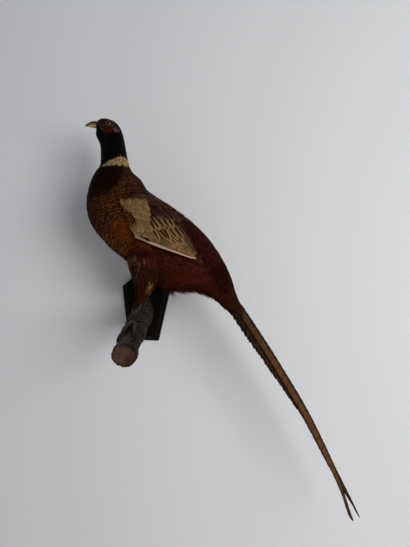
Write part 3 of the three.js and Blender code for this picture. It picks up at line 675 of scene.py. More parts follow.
def close_below(work, rows):
    """Gives a feather's grid a flat underside. Rows hold its points with how far across they are."""
    rims = [[vert for _, vert in sorted(rows[i], key=lambda e: e[0])] for i in range(len(rows))]
    for low, high in zip(rims, rims[1:]):
        work.faces.new((low[0], low[-1], high[-1], high[0]))
    work.faces.new(rims[0])
    work.faces.new(rims[-1])


def vane(rows, columns, swell=0.45, waist=0.35, camber=0.16, point=0.5):
    """A closed lens with a flat underside: narrow at its root, broadest at swell, then rounded to its tip."""
    work = bmesh.new()
    steps = len(rows) - 1
    bmesh.ops.create_grid(work, x_segments=columns, y_segments=steps, size=1)
    across_at = {}
    for vert in work.verts:
        i, x = round((vert.co.y + 1) / 2 * steps), vert.co.x
        a = rows[i]
        beyond = max(0.0, (a - swell) / (1 - swell))
        if beyond:
            half = max(0.03, (1 - beyond**2)) ** point
        else:
            half = waist + (1 - waist) * math.sin(a / swell * math.pi / 2)
        across_at.setdefault(i, []).append((x, vert))
        vert.co = (a, x * half, camber * half * (1 - x * x))
    close_below(work, across_at)
    return Shape(work)


def lay(surface, row, column, shape, length, half, turn, root_lift, tip_lift, bow=1.6):
    """Feathers laid along a surface, one array of points for each. Lifts are heights of root and tip."""
    down, across = surface.read(surface.down, row, column), surface.read(surface.across, row, column)
    normal = surface.read(surface.normal, row, column)
    pace = np.linalg.norm(down, axis=1)
    ahead = down / pace[:, None]
    beside = np.cross(normal, ahead)
    beside /= np.linalg.norm(beside, axis=1)[:, None]
    along, over, up = (shape.points[None, :, k] for k in range(3))
    d, w = along * length[:, None], over * half[:, None]
    c, s = np.cos(turn)[:, None], np.sin(turn)[:, None]
    go, aside = d * c - w * s, d * s + w * c
    width = (across * beside).sum(1)
    width = np.where(np.abs(width) < 1e-5, 1e-5, width)
    columns_over = aside / width[:, None]
    rows_on = (go - columns_over * (across * ahead).sum(1)[:, None]) / pace[:, None]
    point, out = surface.at(row[:, None] + rows_on, column[:, None] + columns_over)
    height = root_lift[:, None] + (tip_lift - root_lift)[:, None] * along**bow + up * half[:, None]
    return point + out * height[..., None]


def feathers(
    surface, row, column, shape, length, half, turn, root_lift, tip_lift, bow=1.6, look=None, place=None,
    patch=None,
):
    """A batch of laid feathers with their markings and their places on the baking map."""
    points = lay(surface, row, column, shape, length, half, turn, root_lift, tip_lift, bow)
    if look is None:
        shown = np.argmin(np.abs(shape.points[:, 0] - 0.72) + np.abs(shape.points[:, 1]))
        look = markings(points[:, shown])
    if place is None:
        rows, columns = surface.grid.shape[:2]
        place = np.stack([column % columns / columns, row / rows], 1) * 0.98 + 0.01
    size = np.full((len(row), 2), BAKE_PATCH) if patch is None else patch
    return {"points": points, "shape": shape, "look": look, "place": place, "patch": size}


def joined(name, batches):
    """One mesh from batches of feathers, with its maps and markings."""
    mesh = bpy.data.meshes.new(name)
    points, loops, counts, vane_map, bake_map, looks, tones = [], [], [], [], [], [], []
    base = 0
    for batch in batches:
        shape, (many, each) = batch["shape"], batch["points"].shape[:2]
        points.append(batch["points"].reshape(-1, 3))
        loops.append((shape.loops[None] + base + each * np.arange(many)[:, None]).ravel())
        counts.append(np.tile(shape.counts, many))
        vane_map.append(np.tile(shape.vane[shape.loops], (many, 1)))
        spot = shape.vane[shape.loops] * (0.94, 0.94) + 0.03
        wide = batch["patch"][:, None, 0] > 2 * BAKE_PATCH
        spot = np.repeat(spot[None], many, 0)
        spot[..., 0] = np.where(wide, spot[..., 0] / 2 + 0.5 * shape.under[None], spot[..., 0])
        bake_map.append((batch["place"][:, None] + spot * batch["patch"][:, None]).reshape(-1, 2))
        looks.append(np.repeat(batch["look"], each, 0))
        tones.append(np.repeat(rng.uniform(0, 1, many), each))
        base += many * each
    points, loops, counts = (np.concatenate(part) for part in (points, loops, counts))
    mesh.vertices.add(len(points))
    mesh.vertices.foreach_set("co", points.astype(np.float32).ravel())
    mesh.loops.add(len(loops))
    mesh.loops.foreach_set("vertex_index", loops.astype(np.int32))
    mesh.polygons.add(len(counts))
    mesh.polygons.foreach_set("loop_start", (np.cumsum(counts) - counts).astype(np.int32))
    mesh.update(calc_edges=True)
    for label, values in (("Vane", vane_map), ("OFBake", bake_map)):
        mesh.uv_layers.new(name=label).data.foreach_set(
            "uv", np.concatenate(values).astype(np.float32).ravel()
        )
    dye(mesh, np.concatenate(looks), np.concatenate(tones))
    return mesh


FULL_TURN = 6.283  # in radians


def blank_pattern(name, settings):
    """A node group for a feather, with its settings, the looks written on the mesh and the feather's map."""
    tree = bpy.data.node_groups.new(name, "ShaderNodeTree")
    for label in settings:
        tree.interface.new_socket(label, in_out="INPUT", socket_type="NodeSocketFloat")
    tree.interface.new_socket("Color", in_out="OUTPUT", socket_type="NodeSocketColor")
    tree.interface.new_socket("Height", in_out="OUTPUT", socket_type="NodeSocketFloat")
    given = tree.nodes.new("NodeGroupInput").outputs
    looks = [add(tree, "Attribute", attribute_name=label) for label in COLOUR_SPANS]
    bands = add(tree, "Attribute", attribute_name="bands")
    band = add(tree, "SeparateXYZ", {0: bands.outputs["Vector"]})
    spot = add(tree, "SeparateXYZ", {0: add(tree, "UVMap", uv_map="Vane").outputs[0]})
    return tree, given, looks, band, spot


def close_pattern(tree, colour, height):
    """Leads a pattern's colour and height out of its group."""
    put = tree.nodes.new("NodeGroupOutput").inputs
    tree.links.new(colour, put["Color"])
    tree.links.new(height, put["Height"])
    return tree


def patterned(name, roughness, pattern, settings, bump, distance, **numbers):
    """A feather finish drawn by a pattern."""
    made, tree, shader, place = finish(name, roughness, **numbers)
    drawn = add(tree, "Group", node_tree=pattern)
    for label, value in settings.items():
        drawn.inputs[label].default_value = value
    wire(tree, shader, drawn.outputs["Color"], None, drawn.outputs["Height"], bump, distance)
    return made


def vane_pattern():
    """The node group that draws one feather from its own map: heart, ground, rim, shaft and barbs."""
    settings = ("Barbs", "Mottle", "Shaft", "Narrow", "Tipped")
    tree, given, (ground, rim, heart), band, spot = blank_pattern("feather_vane", settings)
    across = calc(tree, "ABSOLUTE", minus(tree, times(tree, spot.outputs["X"], 2.0), 1.0))
    on = spot.outputs["Y"]
    beyond = calc(tree, "MAXIMUM", calc(tree, "DIVIDE", minus(tree, on, 0.45), 0.55), 0.0)
    squares = plus(tree, times(tree, across, across), times(tree, beyond, beyond))
    reach = calc(tree, "SQRT", squares)
    object_place = add(tree, "TexCoord").outputs["Object"]
    cloud = grains(tree, object_place, 420, 3, 0.65)
    straying = minus(tree, cloud, 0.5)
    loose = plus(tree, reach, times(tree, straying, given["Mottle"]))
    late = minus(tree, loose, band.outputs["Y"])
    rim_share = times(tree, eased(tree, late, -0.05, 0.1), rim.outputs["Alpha"])
    slim = times(tree, across, given["Narrow"])
    squares = plus(tree, times(tree, slim, slim), times(tree, beyond, beyond))
    slim = calc(tree, "SQRT", squares)
    early = minus(tree, plus(tree, band.outputs["X"], reach), plus(tree, slim, loose))
    heart_share = times(tree, eased(tree, early, -0.08, 0.08), heart.outputs["Alpha"])
    colour = mixed(tree, heart_share, ground.outputs["Color"], heart.outputs["Color"])
    at_tip = eased(tree, minus(tree, on, times(tree, straying, 0.3)), 0.62, 0.8)
    at_side = times(tree, minus(tree, 1.0, at_tip), given["Tipped"])
    edging = mixed(tree, at_side, rim.outputs["Color"], heart.outputs["Color"])
    colour = mixed(tree, rim_share, colour, edging)
    slant = minus(tree, on, times(tree, across, 0.3))
    barbs = calc(tree, "SINE", times(tree, slant, times(tree, given["Barbs"], FULL_TURN)))
    tone = plus(tree, times(tree, band.outputs["Z"], 0.5), 0.76)
    tone = plus(tree, tone, times(tree, barbs, 0.1))
    tone = plus(tree, tone, times(tree, straying, 0.5))
    rooted = eased(tree, on, 0.1, 0.5, 0.55, 1.0)
    tone = times(tree, tone, rooted)
    lit = add(tree, "VectorMath", {0: colour, "Scale": tone}, operation="SCALE").outputs[0]
    shaft = times(tree, eased(tree, across, 0.09, 0.03), given["Shaft"])
    lit = mixed(tree, shaft, lit, mixed(tree, 0.5, ground.outputs["Color"], paint(120, 90, 60)))
    shaft = times(tree, eased(tree, across, 0.12, 0.0), 2.0)
    ridge = plus(tree, times(tree, barbs, 0.5), shaft)
    return close_pattern(tree, lit, plus(tree, ridge, times(tree, cloud, 0.6)))


VANE_PATTERN = vane_pattern()


def plumage(name, roughness, barbs=13, mottle=0.3, shaft=0.25, bump=0.35, narrow=1.0, tipped=0.0, **numbers):
    """A feather finish drawn by the vane pattern."""
    settings = {"Barbs": barbs, "Mottle": mottle, "Shaft": shaft, "Narrow": narrow, "Tipped": tipped}
    return patterned(name, roughness, VANE_PATTERN, settings, bump, 0.0003, **numbers)


def rows_of_roots(surface, start, end, step_at, gap_at):
    """Staggered rows of roots: lattice rows and columns, and how stretched the surface is at each."""
    pace = np.linalg.norm(surface.down, axis=2)
    usual = np.percentile(pace, 65, axis=1)
    found, row, k = [], start, 0
    while row < end:
        here = np.clip(int(row), 0, len(usual) - 1)
        arc = np.cumsum(np.linalg.norm(surface.across[here], axis=1))
        many = max(4, round(arc[-1] / gap_at(row)))
        marks = (np.arange(many) + 0.5 * (k % 2) + rng.uniform(-0.2, 0.2, many)) / many * arc[-1]
        columns = np.interp(marks % arc[-1], arc, np.arange(1, len(arc) + 1))
        rows = row + rng.uniform(-0.22, 0.22, many) * step_at(row) / usual[here]
        found.append(
            np.stack([rows, columns, np.interp(columns, np.arange(len(arc)), pace[here]) / usual[here]], 1)
        )
        row += step_at(row) / usual[here]
        k += 1
    return np.concatenate(found)


def size_at(row, which):
    """A feather's size at a row of the body's lattice, in metres."""
    return np.interp(np.asarray(row) / ROWS_PER_SECTION, FEATHER_SIZES[:, 0], FEATHER_SIZES[:, which]) / 1000


# The outline of a folded wing in mm: z and x of its front, then x and z of its top and of its foot.
WING_FRONT = [(134, 16), (151, -1), (176, -13.5), (195, -18), (205, -11), (209.5, 1)]
WING_TOP = [(-18, 206), (10, 212), (33, 200), (48, 189), (76, 168), (86, 153), (99, 127), (108, 100)]
WING_FOOT = [(-13, 150), (8, 135), (48, 118), (104, 97)]
WING_LAP = 2.4  # how far the coat stands off the edges of the wings that it laps over, in mm
NAPE_RISE = 2.4  # how far the long feathers of the nape stand out, in mm
FLANK_FROM = 25  # how far from the midline the wings lie, in mm
WING_SHOWS = np.array([  # the part of each wing that the coat leaves uncovered, as x and z in mm
    (-17, 199), (6, 199.5), (18, 197), (34, 188), (52, 177), (73, 161), (86, 147), (93.5, 134), (102, 119.5),
    (107, 103), (100, 97), (48, 116), (10, 133), (-3, 141), (-4, 149), (5, 157), (16, 165), (8, 173),
    (-2, 181), (-15, 188),
])


def wing_height(x, z):
    """How far the folded wing stands off the body, in mm, at some x and z in mm."""
    front = x - np.interp(z, *zip(*WING_FRONT))
    return (1.0 + 4.6 * share(front, -2, 17)) * (1 - 0.34 * share(x, 45, 108))


def inside(outline, x, z):
    """Whether points lie in a closed outline."""
    hit = np.zeros(len(x), bool)
    for (x0, z0), (x1, z1) in zip(outline, np.roll(outline, -1, 0)):
        crosses = (z0 > z) != (z1 > z)
        hit ^= crosses & (x < (x1 - x0) * (z - z0) / np.where(z1 == z0, 1e-9, z1 - z0) + x0)
    return hit


def lattice_place(surface, side, spots):
    """Rows and columns of the body's lattice nearest to some x and z on one side."""
    first = 2 if side == "left" else COLUMNS // 2 + 2
    flank = surface.grid[:, first : first + COLUMNS // 2 - 4]
    gap_x = flank[None, ..., 0] - spots[:, 0, None, None]
    gap_z = flank[None, ..., 2] - spots[:, 1, None, None]
    gap = gap_x**2 + gap_z**2
    found = gap.reshape(len(spots), -1).argmin(1)
    return found // flank.shape[1] + rng.uniform(0, 0.5, len(spots)), found % flank.shape[1] + first + 0.0


def aimed(surface, row, column, ways):
    """The turns that point feathers along some ways."""
    down, normal = surface.read(surface.down, row, column), surface.read(surface.normal, row, column)
    beside = np.cross(normal, down)
    return np.arctan2((ways * beside).sum(1), (ways * down).sum(1))


x, z = body.grid[..., 0] * 1000, body.grid[..., 2] * 1000
over = share(np.interp(x, *zip(*WING_TOP)) - z, -5, 9) * share(z - np.interp(x, *zip(*WING_FOOT)), -2, 5)
past_front = share(x - np.interp(z, *zip(*WING_FRONT)), -6, 4)
over *= past_front * share(np.abs(body.grid[..., 1] - MIDLINE), 0.02, 0.03)
over *= share(x, 110, 100)
rise = (wing_height(x, z) + WING_LAP) * over
section = np.arange(len(body.grid))[:, None] / ROWS_PER_SECTION
behind = np.clip(np.cos(2 * np.pi * np.arange(COLUMNS) / COLUMNS), 0, 1)[None] ** 1.5
rise += NAPE_RISE * behind * share(section, 2.5, 4) * share(section, 9.5, 8)
winged = Surface(body.grid + body.normal * rise[..., None] / 1000, True, None, 2)
roots = rows_of_roots(
    body, 1.5, 22 * ROWS_PER_SECTION, lambda r: size_at(r, 3), lambda r: 1.3 * size_at(r, 2)
)
root_points = body.at(roots[:, 0], roots[:, 1])[0] * 1000
off_line = np.abs(root_points[:, 1] - MIDLINE * 1000)
hidden = inside(WING_SHOWS, root_points[:, 0], root_points[:, 2]) & (off_line > FLANK_FROM)
FACE_BARE = np.array([  # the part of each cheek without a coat, as x and z in mm
    (-68, 350), (-60, 354), (-44, 352), (-42, 343.5), (-45.4, 334.5), (-54, 331.5), (-62.5, 337),
])
bare = inside(FACE_BARE, root_points[:, 0], root_points[:, 2]) & (off_line > 8)
roots = roots[~hidden & ~bare]
CONTOUR = vane((0, 0.24, 0.45, 0.62, 0.78, 0.9, 0.97, 1.0), 4)
SMALL = vane((0, 0.4, 0.72, 0.92, 1.0), 2)
HACKLE = vane((0, 0.3, 0.55, 0.78, 0.92, 1.0), 2, swell=0.3, waist=0.5, camber=0.3, point=0.9)
TRACTS = [  # name, first and last section, finish, slot, nodes it covers, shape, length and width factors
    ("crown_coat", 0, 4.4, "crown", "crown_feathers", ("head",), SMALL, 1.1, 1.0),
    ("neck_coat", 4.4, 6.9, "neck", "neck_feathers", ("neck",), CONTOUR, 1.1, 1.0),
    ("collar_coat", 6.9, 8.15, "collar", "ring_feathers", ("neck_ring",), CONTOUR, 1.1, 1.0),
    ("breast_coat", 8.15, 12.2, "body", "body_feathers", ("trunk",), CONTOUR, 1.0, 1.0),
    ("trunk_coat", 12.2, 17.2, "body", "body_feathers", ("trunk",), CONTOUR, 1.05, 1.0),
    ("rump_coat", 17.2, 22, "rump", "rump_feathers", ("rump",), HACKLE, 1.1, 0.85),
]
PLUMAGES = {
    "crown": plumage("crown_feathers", 0.6, 6, 0.4, 0.1, 0.3, Specular_IOR_Level=0.05),
    "neck": plumage("glossy_neck_feathers", 0.42, 9, 0.3, 0.02, 0.3, Specular_IOR_Level=0.04),
    "collar": plumage("collar_feathers", 0.8, 10, 0.4, 0.1, 0.4, Specular_IOR_Level=0.05),
    "body": plumage("body_feathers", 0.6, 13, 0.22, 0.12, 0.35, 1.0, 1.0, Specular_IOR_Level=0.025),
    "rump": plumage("rump_feathers", 0.6, 16, 0.5, 0.06, 0.4, Specular_IOR_Level=0.02),
}
for name, first, last, kind, slot, nodes, shape, longer, wider in TRACTS:
    here = roots[(roots[:, 0] >= first * ROWS_PER_SECTION) & (roots[:, 0] < last * ROWS_PER_SECTION)]
    row, column, stretch = here.T
    many = len(row)
    depth_here = np.interp(row / ROWS_PER_SECTION, *zip(*COAT_DEPTH)) / 1000
    length = size_at(row, 1) * longer * np.clip(stretch, 0.8, 1.35) * rng.uniform(0.9, 1.12, many)
    half = size_at(row, 2) * wider * rng.uniform(0.9, 1.1, many)
    turn = rng.normal(0, 0.09, many)
    root, way = winged.at(row, column)[0], winged.read(winged.down, row, column)
    way /= np.linalg.norm(way, axis=1)[:, None]
    for _ in range(4):
        tip_at = (root + way * length[:, None]) * 1000
        on_flank = np.abs(tip_at[:, 1] - MIDLINE * 1000) > FLANK_FROM
        laps = inside(WING_SHOWS, tip_at[:, 0], tip_at[:, 2]) & on_flank
        length = np.where(laps, length * 0.8, length)
    tip = size_at(row, 4) * rng.uniform(0.2, 1.0, many)
    batch = feathers(winged, row, column, shape, length, half, turn, -depth_here * 0.8, tip)
    stand(name, joined(name, [batch]), PLUMAGES[kind], slot, *nodes)

# ---------- coat of the thighs ----------
# Short soft feathers down each thigh, looser than the coat of the trunk and ending in a blunt frayed cuff
# above the hock, with loose chestnut strands hanging behind them along the belly and the vent.
THIGH_ROWS, THIGH_COLUMNS = 44, 48
THIGH_FADED = 0.45  # the share of olive-grey feathers along the front of the thigh
THIGH_FEATHER = (0.0165, 0.003)  # length and half width
cuff = vane((0, 0.3, 0.55, 0.78, 0.93, 1.0), 4, swell=0.4, waist=0.4, camber=0.14, point=0.7)


def in_trunk(point):
    """Whether a point lies more than 4 mm under the skin of the trunk."""
    on_skin, normal = trunk_tree.find_nearest(Vector(point))[:2]
    return (Vector(point) - on_skin).dot(normal) < -0.004


for side, sign in SIDES.items():
    foot = THIGH_FEET[side]
    rows = np.linspace(0, len(THIGH_SECTIONS) - 1.0001, THIGH_ROWS)
    table = between(THIGH_SECTIONS, rows)
    turn = 2 * np.pi * np.arange(THIGH_COLUMNS) / THIGH_COLUMNS
    grid = np.stack([
        foot[0] + table[:, 0, None] + table[:, 2, None] * np.cos(turn) * 0.98,
        foot[1] + table[:, 3, None] * np.sin(turn) * 0.98,
        foot[2] + table[:, 1, None] + 0 * turn,
    ], -1) / 1000
    thigh = Surface(grid, True, None, 1)
    roots = rows_of_roots(
        thigh, 2, THIGH_ROWS - 4, lambda r: np.interp(r, (0, THIGH_ROWS), (0.0042, 0.0026)),
        lambda r: np.interp(r, (0, THIGH_ROWS), (0.0052, 0.003)),
    )
    spots = thigh.at(roots[:, 0], roots[:, 1])[0]
    buried = np.array([in_trunk(spot) for spot in spots])
    row, column, _ = roots[~buried].T
    many = len(row)
    size = np.interp(row, (0, THIGH_ROWS), (1, 0.62))
    length = THIGH_FEATHER[0] * size * rng.uniform(0.85, 1.2, many)
    half = THIGH_FEATHER[1] * size * rng.uniform(0.7, 1.15, many)
    batch = feathers(
        thigh, row, column, cuff, length, half,
        rng.normal(0, 0.16, many), np.full(many, -0.0012), rng.uniform(0.0004, 0.0018, many),
    )
    forward = share(spots[~buried][:, 0] * 1000 - foot[0], 22, 4)
    chance = THIGH_FADED * forward * share(spots[~buried][:, 2], 0.058, 0.076)
    faded = (rng.uniform(0, 1, many) < chance)[:, None] * 0.75
    batch["look"] = batch["look"] * (1 - faded) + LOOKS["faded_thigh"] * faded
    thigh_coat = joined(f"thigh_{side}", [batch])
    stand(f"thigh_coat_{side}", thigh_coat, PLUMAGES["body"], "thigh_feathers", f"thigh_{side}")
strand = vane((0, 0.3, 0.6, 0.85, 1.0), 2, swell=0.25, waist=0.6, camber=0.5, point=1.0)
loose, tuft = 900, 60  # strands along the belly, and in the tuft behind the thighs
row = np.concatenate([rng.uniform(13.5, 20.5, loose), rng.normal(17.15, 0.07, tuft)]) * ROWS_PER_SECTION
column = np.concatenate([rng.normal(60, 9, loose), rng.normal(60, 2, tuft)])
near_vent = share(np.abs(row[:loose] / ROWS_PER_SECTION - 17.6), 2.4, 1.0)
hang = np.concatenate([near_vent * 0.0065, np.full(tuft, 0.017)])
many = loose + tuft
batch = feathers(
    body, row, column, strand, rng.uniform(0.013, 0.026, many), rng.uniform(0.0008, 0.0018, many),
    rng.normal(0, 0.35, many), np.full(many, -0.001),
    rng.uniform(0.0003, 0.003, many) + hang * rng.uniform(0, 1, many), 1.5,
)
stand("belly_strands", joined("belly_strands", [batch]), PLUMAGES["rump"], "body_feathers", "trunk", "rump")

# ---------- tail ----------
# Ten long quills, folded like a steep roof: the middle pair is half a metre and tapers to fine points, and
# each pair below it is shorter. Tawny webs with dark bars and a loose maroon fringe, wired into the rump. The
# lower pairs are darkened with painted shade, and a painted shadow runs along the ridge.
TAIL_RIDGE = np.array([
    (193.3, 20.5), (218, -16.5), (256.6, -76), (310.3, -165), (341, -224.5), (368.4, -284), (405.4, -374.5),
]) / 1000
TAIL_SLOPE = math.radians(55)
TAIL_PAIRS = [  # share of the ridge, then where the web starts and ends down the slope in mm, and its bars
    (1.0, 1.6, 21.5, 24), (0.66, 4.5, 24.0, 14), (0.55, 8, 28.0, 12), (0.41, 11, 31.0, 9),
    (0.27, 14, 32.8, 6),
]
TAIL_LAYER = 0.0014  # from each pair down to the next
TAIL_FRAY = (0.1, 0.28, 0.32, 0.36, 0.4)
TAIL_SHADE = (1.0, 0.85, 0.62, 0.45, 0.36)  # each lower pair is darker: painted shade, as it lies under the pair above
TAIL_COLOURS = ((94, 60, 28), (50, 19, 9), (24, 10, 5))  # the web, its fringe and its bars
QUILL_STEP = 0.0022  # the length of one face along a quill
TIP_DROP = {"left": 0.0059, "right": -0.0075}  # how far the two long quills part towards their tips
TIP_PARTS = {"left": (0.78, 1.02), "right": (0.72, 1.05)}  # where along them that starts and ends
TIP_WIDTH = {"left": 0.44, "right": 0.22}  # how much of their width is left there
TIP_LONGER = {"left": 0.0075, "right": 0.0095}  # how far they reach past the ridge
TAIL_WEB = 36  # columns of the tail's lattice, one for each mm down the slope


def quill(steps, columns, near, far, fray=0.0, thick=0.05, seed=0, barb=5, mirror=1):
    """A long feather as a closed lens between two edges, given as functions of the way along, in half widths.
    Its edges are frayed where barbs have come apart, each lock raked towards the tip."""
    draw = np.random.default_rng(seed)
    work = bmesh.new()
    bmesh.ops.create_grid(work, x_segments=columns, y_segments=steps, size=1)
    locks = {}
    for side in (-1, 1):
        phase, locks[side] = 0.0, []
        size = draw.uniform(0.6, 1.6) * barb
        for i in range(steps + 1):
            locks[side].append(phase / size)
            phase += 1
            if phase >= size:
                phase, size = 0.0, draw.uniform(0.5, 1.8) * barb
    across_at, spread = {}, []
    for vert in work.verts:
        i, x = round((vert.co.y + 1) / 2 * steps), vert.co.x
        t = i / steps
        edge = near(t) if x < 0 else far(t)
        middle = (near(t) + far(t)) / 2
        reach = abs(edge - middle) * abs(x)
        ragged = 1 - fray * (1 - locks[1 if x > 0 else -1][i]) * abs(x) ** 3
        across_at.setdefault(i, []).append((x, vert))
        spread.append(x)
        shaft = 0.5 * thick * max(0.0, 1 - abs(x) * 5) * (1 - t)
        height = thick * (1 - x * x) * (far(t) - near(t)) / 2 + shaft
        vert.co = (t, mirror * (middle + math.copysign(reach * ragged, x)), height)
    close_below(work, across_at)
    made = Shape(work)
    made.vane[:, 0] = 0.5 + 0.5 * np.array(spread)
    return made


def barred_pattern():
    """The node group that draws a quill: bars across each web, fringed edges, a pale shaft and barbs, and a
    painted shadow along the ridge.
    """
    settings = ("Bar Width", "Mottle", "Barbs", "Dark Ridge")
    tree, given, (ground, fringe, bar), band, spot = blank_pattern("barred_quill", settings)
    sideways = minus(tree, times(tree, spot.outputs["X"], 2.0), 1.0)
    across = calc(tree, "ABSOLUTE", sideways)
    object_place = add(tree, "TexCoord").outputs["Object"]
    cloud = grains(tree, object_place, 150, 4, 0.65)
    fine = grains(tree, object_place, 900, 3, 0.7)
    wander = times(tree, minus(tree, cloud, 0.5), given["Mottle"])
    count = times(tree, spot.outputs["Y"], band.outputs["X"])
    raked = minus(tree, plus(tree, count, wander), times(tree, across, 0.25))
    wave = calc(tree, "COSINE", times(tree, raked, FULL_TURN))
    low = minus(tree, 1.0, times(tree, given["Bar Width"], 2.0))
    barred = times(tree, eased(tree, wave, low, plus(tree, low, 0.35)), bar.outputs["Alpha"])
    barred = times(tree, barred, eased(tree, fine, 0.25, 0.5, 0.6, 1.0))
    loose = plus(tree, across, times(tree, minus(tree, fine, 0.5), 0.5))
    at_edge = eased(tree, loose, band.outputs["Y"], plus(tree, band.outputs["Y"], 0.25))
    fringed = times(tree, at_edge, fringe.outputs["Alpha"])
    colour = mixed(tree, barred, ground.outputs["Color"], bar.outputs["Color"])
    colour = mixed(tree, fringed, colour, fringe.outputs["Color"])
    # Near-black along each web's upper edge, at the fold of the tail and under the pair above: painted
    # shadow. The tip darkens as well.
    ridge = plus(
        tree, eased(tree, sideways, -0.42, -0.6), eased(tree, spot.outputs["Y"], 0.8, 0.97, 0.0, 0.6)
    )
    ridge = calc(tree, "MINIMUM", times(tree, ridge, given["Dark Ridge"]), 1.0)
    colour = mixed(tree, ridge, colour, paint(8, 6, 5))
    slant = minus(tree, spot.outputs["Y"], times(tree, across, 0.03))
    barbs = calc(tree, "SINE", times(tree, slant, times(tree, given["Barbs"], FULL_TURN)))
    tone = plus(tree, times(tree, barbs, 0.07), eased(tree, cloud, 0.3, 0.7, 0.78, 1.15))
    tone = times(tree, tone, eased(tree, fine, 0.3, 0.7, 0.85, 1.12))
    # darker towards the root, by the same setting
    rooted = times(tree, eased(tree, spot.outputs["Y"], 0.34, 0.08), given["Dark Ridge"])
    tone = times(tree, tone, minus(tree, 1.0, times(tree, rooted, 0.42)))
    lit = add(tree, "VectorMath", {0: colour, "Scale": tone}, operation="SCALE").outputs[0]
    shaft = times(tree, eased(tree, across, 0.1, 0.04), 0.55)
    lit = mixed(tree, shaft, lit, paint(92, 66, 42))
    shaft = times(tree, eased(tree, across, 0.12, 0.0), 3.0)
    return close_pattern(tree, lit, plus(tree, barbs, shaft))


BARRED_PATTERN = barred_pattern()


def quill_finish(name, roughness, bar_width, mottle, barbs, dark_ridge=0.0):
    """A quill finish drawn by the barred pattern."""
    settings = {"Bar Width": bar_width, "Mottle": mottle, "Barbs": barbs, "Dark Ridge": dark_ridge}
    return patterned(name, roughness, BARRED_PATTERN, settings, 0.3, 0.0002, Specular_IOR_Level=0.08)


def run_along(line, count):
    """Points at even steps along a smooth curve."""
    fine = between(line, np.linspace(0, len(line) - 1.0001, 400))
    arc = np.concatenate([[0], np.cumsum(np.linalg.norm(np.diff(fine, axis=0), axis=1))])
    marks = np.linspace(0, arc[-1], count)
    return np.stack([np.interp(marks, arc, fine[:, k]) for k in range(fine.shape[1])], 1), arc[-1]


def tail_edges(pair, side):
    """The upper and the lower edge of a tail quill, as functions of the way along it."""

    def blunt(t):
        return 1 - max(0.02, 1 - t**5) ** 0.7

    def whole(t):
        return -1.0

    def tapered(t):
        tip = max(0.04, 1 - max(0.0, (t - 0.95) / 0.05) ** 2) ** 0.5
        return -1 + 2 * max(TIP_WIDTH[side], 1 - t**4.6) * tip

    def above(t):
        return -1 + 2 * 0.35 * blunt(t)

    def below(t):
        return 1 - 2 * 0.65 * blunt(t)

    return (whole, tapered) if pair == 0 else (above, below)


tail_finish = quill_finish("barred_tail_feathers", 0.5, 0.16, 1.1, 260, 0.95)
TAIL_ROWS = 160
ridge, ridge_length = run_along(TAIL_RIDGE, TAIL_ROWS)
for side, sign in SIDES.items():
    for pair, (reach, start, end, bars) in enumerate(TAIL_PAIRS):
        ways = np.gradient(ridge, axis=0)
        ways /= np.linalg.norm(ways, axis=1, keepdims=True)
        fall = np.stack([ways[:, 1], np.zeros(TAIL_ROWS), -ways[:, 0]], 1)
        out = np.array((0, sign, 0))
        slope = fall * math.sin(TAIL_SLOPE) + out * math.cos(TAIL_SLOPE)
        inward = fall * math.cos(TAIL_SLOPE) - out * math.sin(TAIL_SLOPE)
        spine = np.stack([ridge[:, 0], np.full(TAIL_ROWS, MIDLINE), ridge[:, 1]], 1)
        spine += inward * (pair * TAIL_LAYER + 0.0003)
        if pair == 0:
            spine += fall * TIP_DROP[side] * share(np.linspace(0, 1, TAIL_ROWS)[:, None], *TIP_PARTS[side])
        web = np.arange(TAIL_WEB) / 1000  # metres down the slope
        bowed = 0.0004 * np.sin(np.pi * web / web[-1])
        grid = spine[:, None] + slope[:, None] * web[None, :, None] - inward[:, None] * bowed[None, :, None]
        web_surface = Surface(grid, False, -inward[:, None] + np.zeros_like(grid), 0)
        middle, half = (start + end) / 2000, (end - start) / 2000
        near, far = tail_edges(pair, side)
        steps = round(reach * ridge_length / QUILL_STEP)
        shape = quill(steps, 6, near, far, TAIL_FRAY[pair], 0.05, 40 + pair * 2 + (sign > 0), 4, sign)
        length = reach * (ridge_length - 0.001) + (TIP_LONGER[side] if pair == 0 else 0.0)
        # the colours of each lower pair are darkened by painted shade
        ground, fringe, bar = (np.array(paint(*c)[:3]) * TAIL_SHADE[pair] for c in TAIL_COLOURS)
        look = look_of(ground, fringe, 0.9, bar, 0.6, bars, 0.55)
        one = np.ones(1)
        batch = feathers(
            web_surface, one * 0.3, one * middle * 1000, shape, one * length, one * half, one * 0,
            one * 0.0, one * 0.0, look=look[None], place=np.full((1, 2), 0.0), patch=np.full((1, 2), 1.0),
        )
        name = f"tail_{side}_{pair + 1}"
        stand(f"quill_{name}", joined(name, [batch]), tail_finish, "tail_feathers", name)

# ---------- wings ----------
# Each wing is folded flat on the trunk. Plain sandy small coverts lie over the wrist, then dark-hearted
# greater coverts with cream edges, the tertials and secondaries, and pale-edged primaries at the foot.
WING_STEP = 0.0025
WING_X, WING_Z = np.arange(-0.034, 0.130, WING_STEP), np.arange(0.078, 0.230, WING_STEP)


def wing_surface(sign):
    """The outside of one folded wing, as a lattice over the side of the body."""
    start = MIDLINE + sign * 0.1
    grid = np.zeros((len(WING_X), len(WING_Z), 3))
    for i, x in enumerate(WING_X):
        for k, z in enumerate(WING_Z):
            hit = trunk_tree.ray_cast(Vector((x, start, z)), Vector((0, -sign, 0)), 0.1)[0]
            grid[i, k] = hit if hit else (x, MIDLINE + sign * 0.012, z)
    flat = Surface(grid, False, np.broadcast_to((0, sign, 0), grid.shape), 2)
    x, z = np.meshgrid(WING_X * 1000, WING_Z * 1000, indexing="ij")
    return Surface(flat.grid + flat.normal * wing_height(x, z)[..., None] / 1000, False, flat.normal, 2)


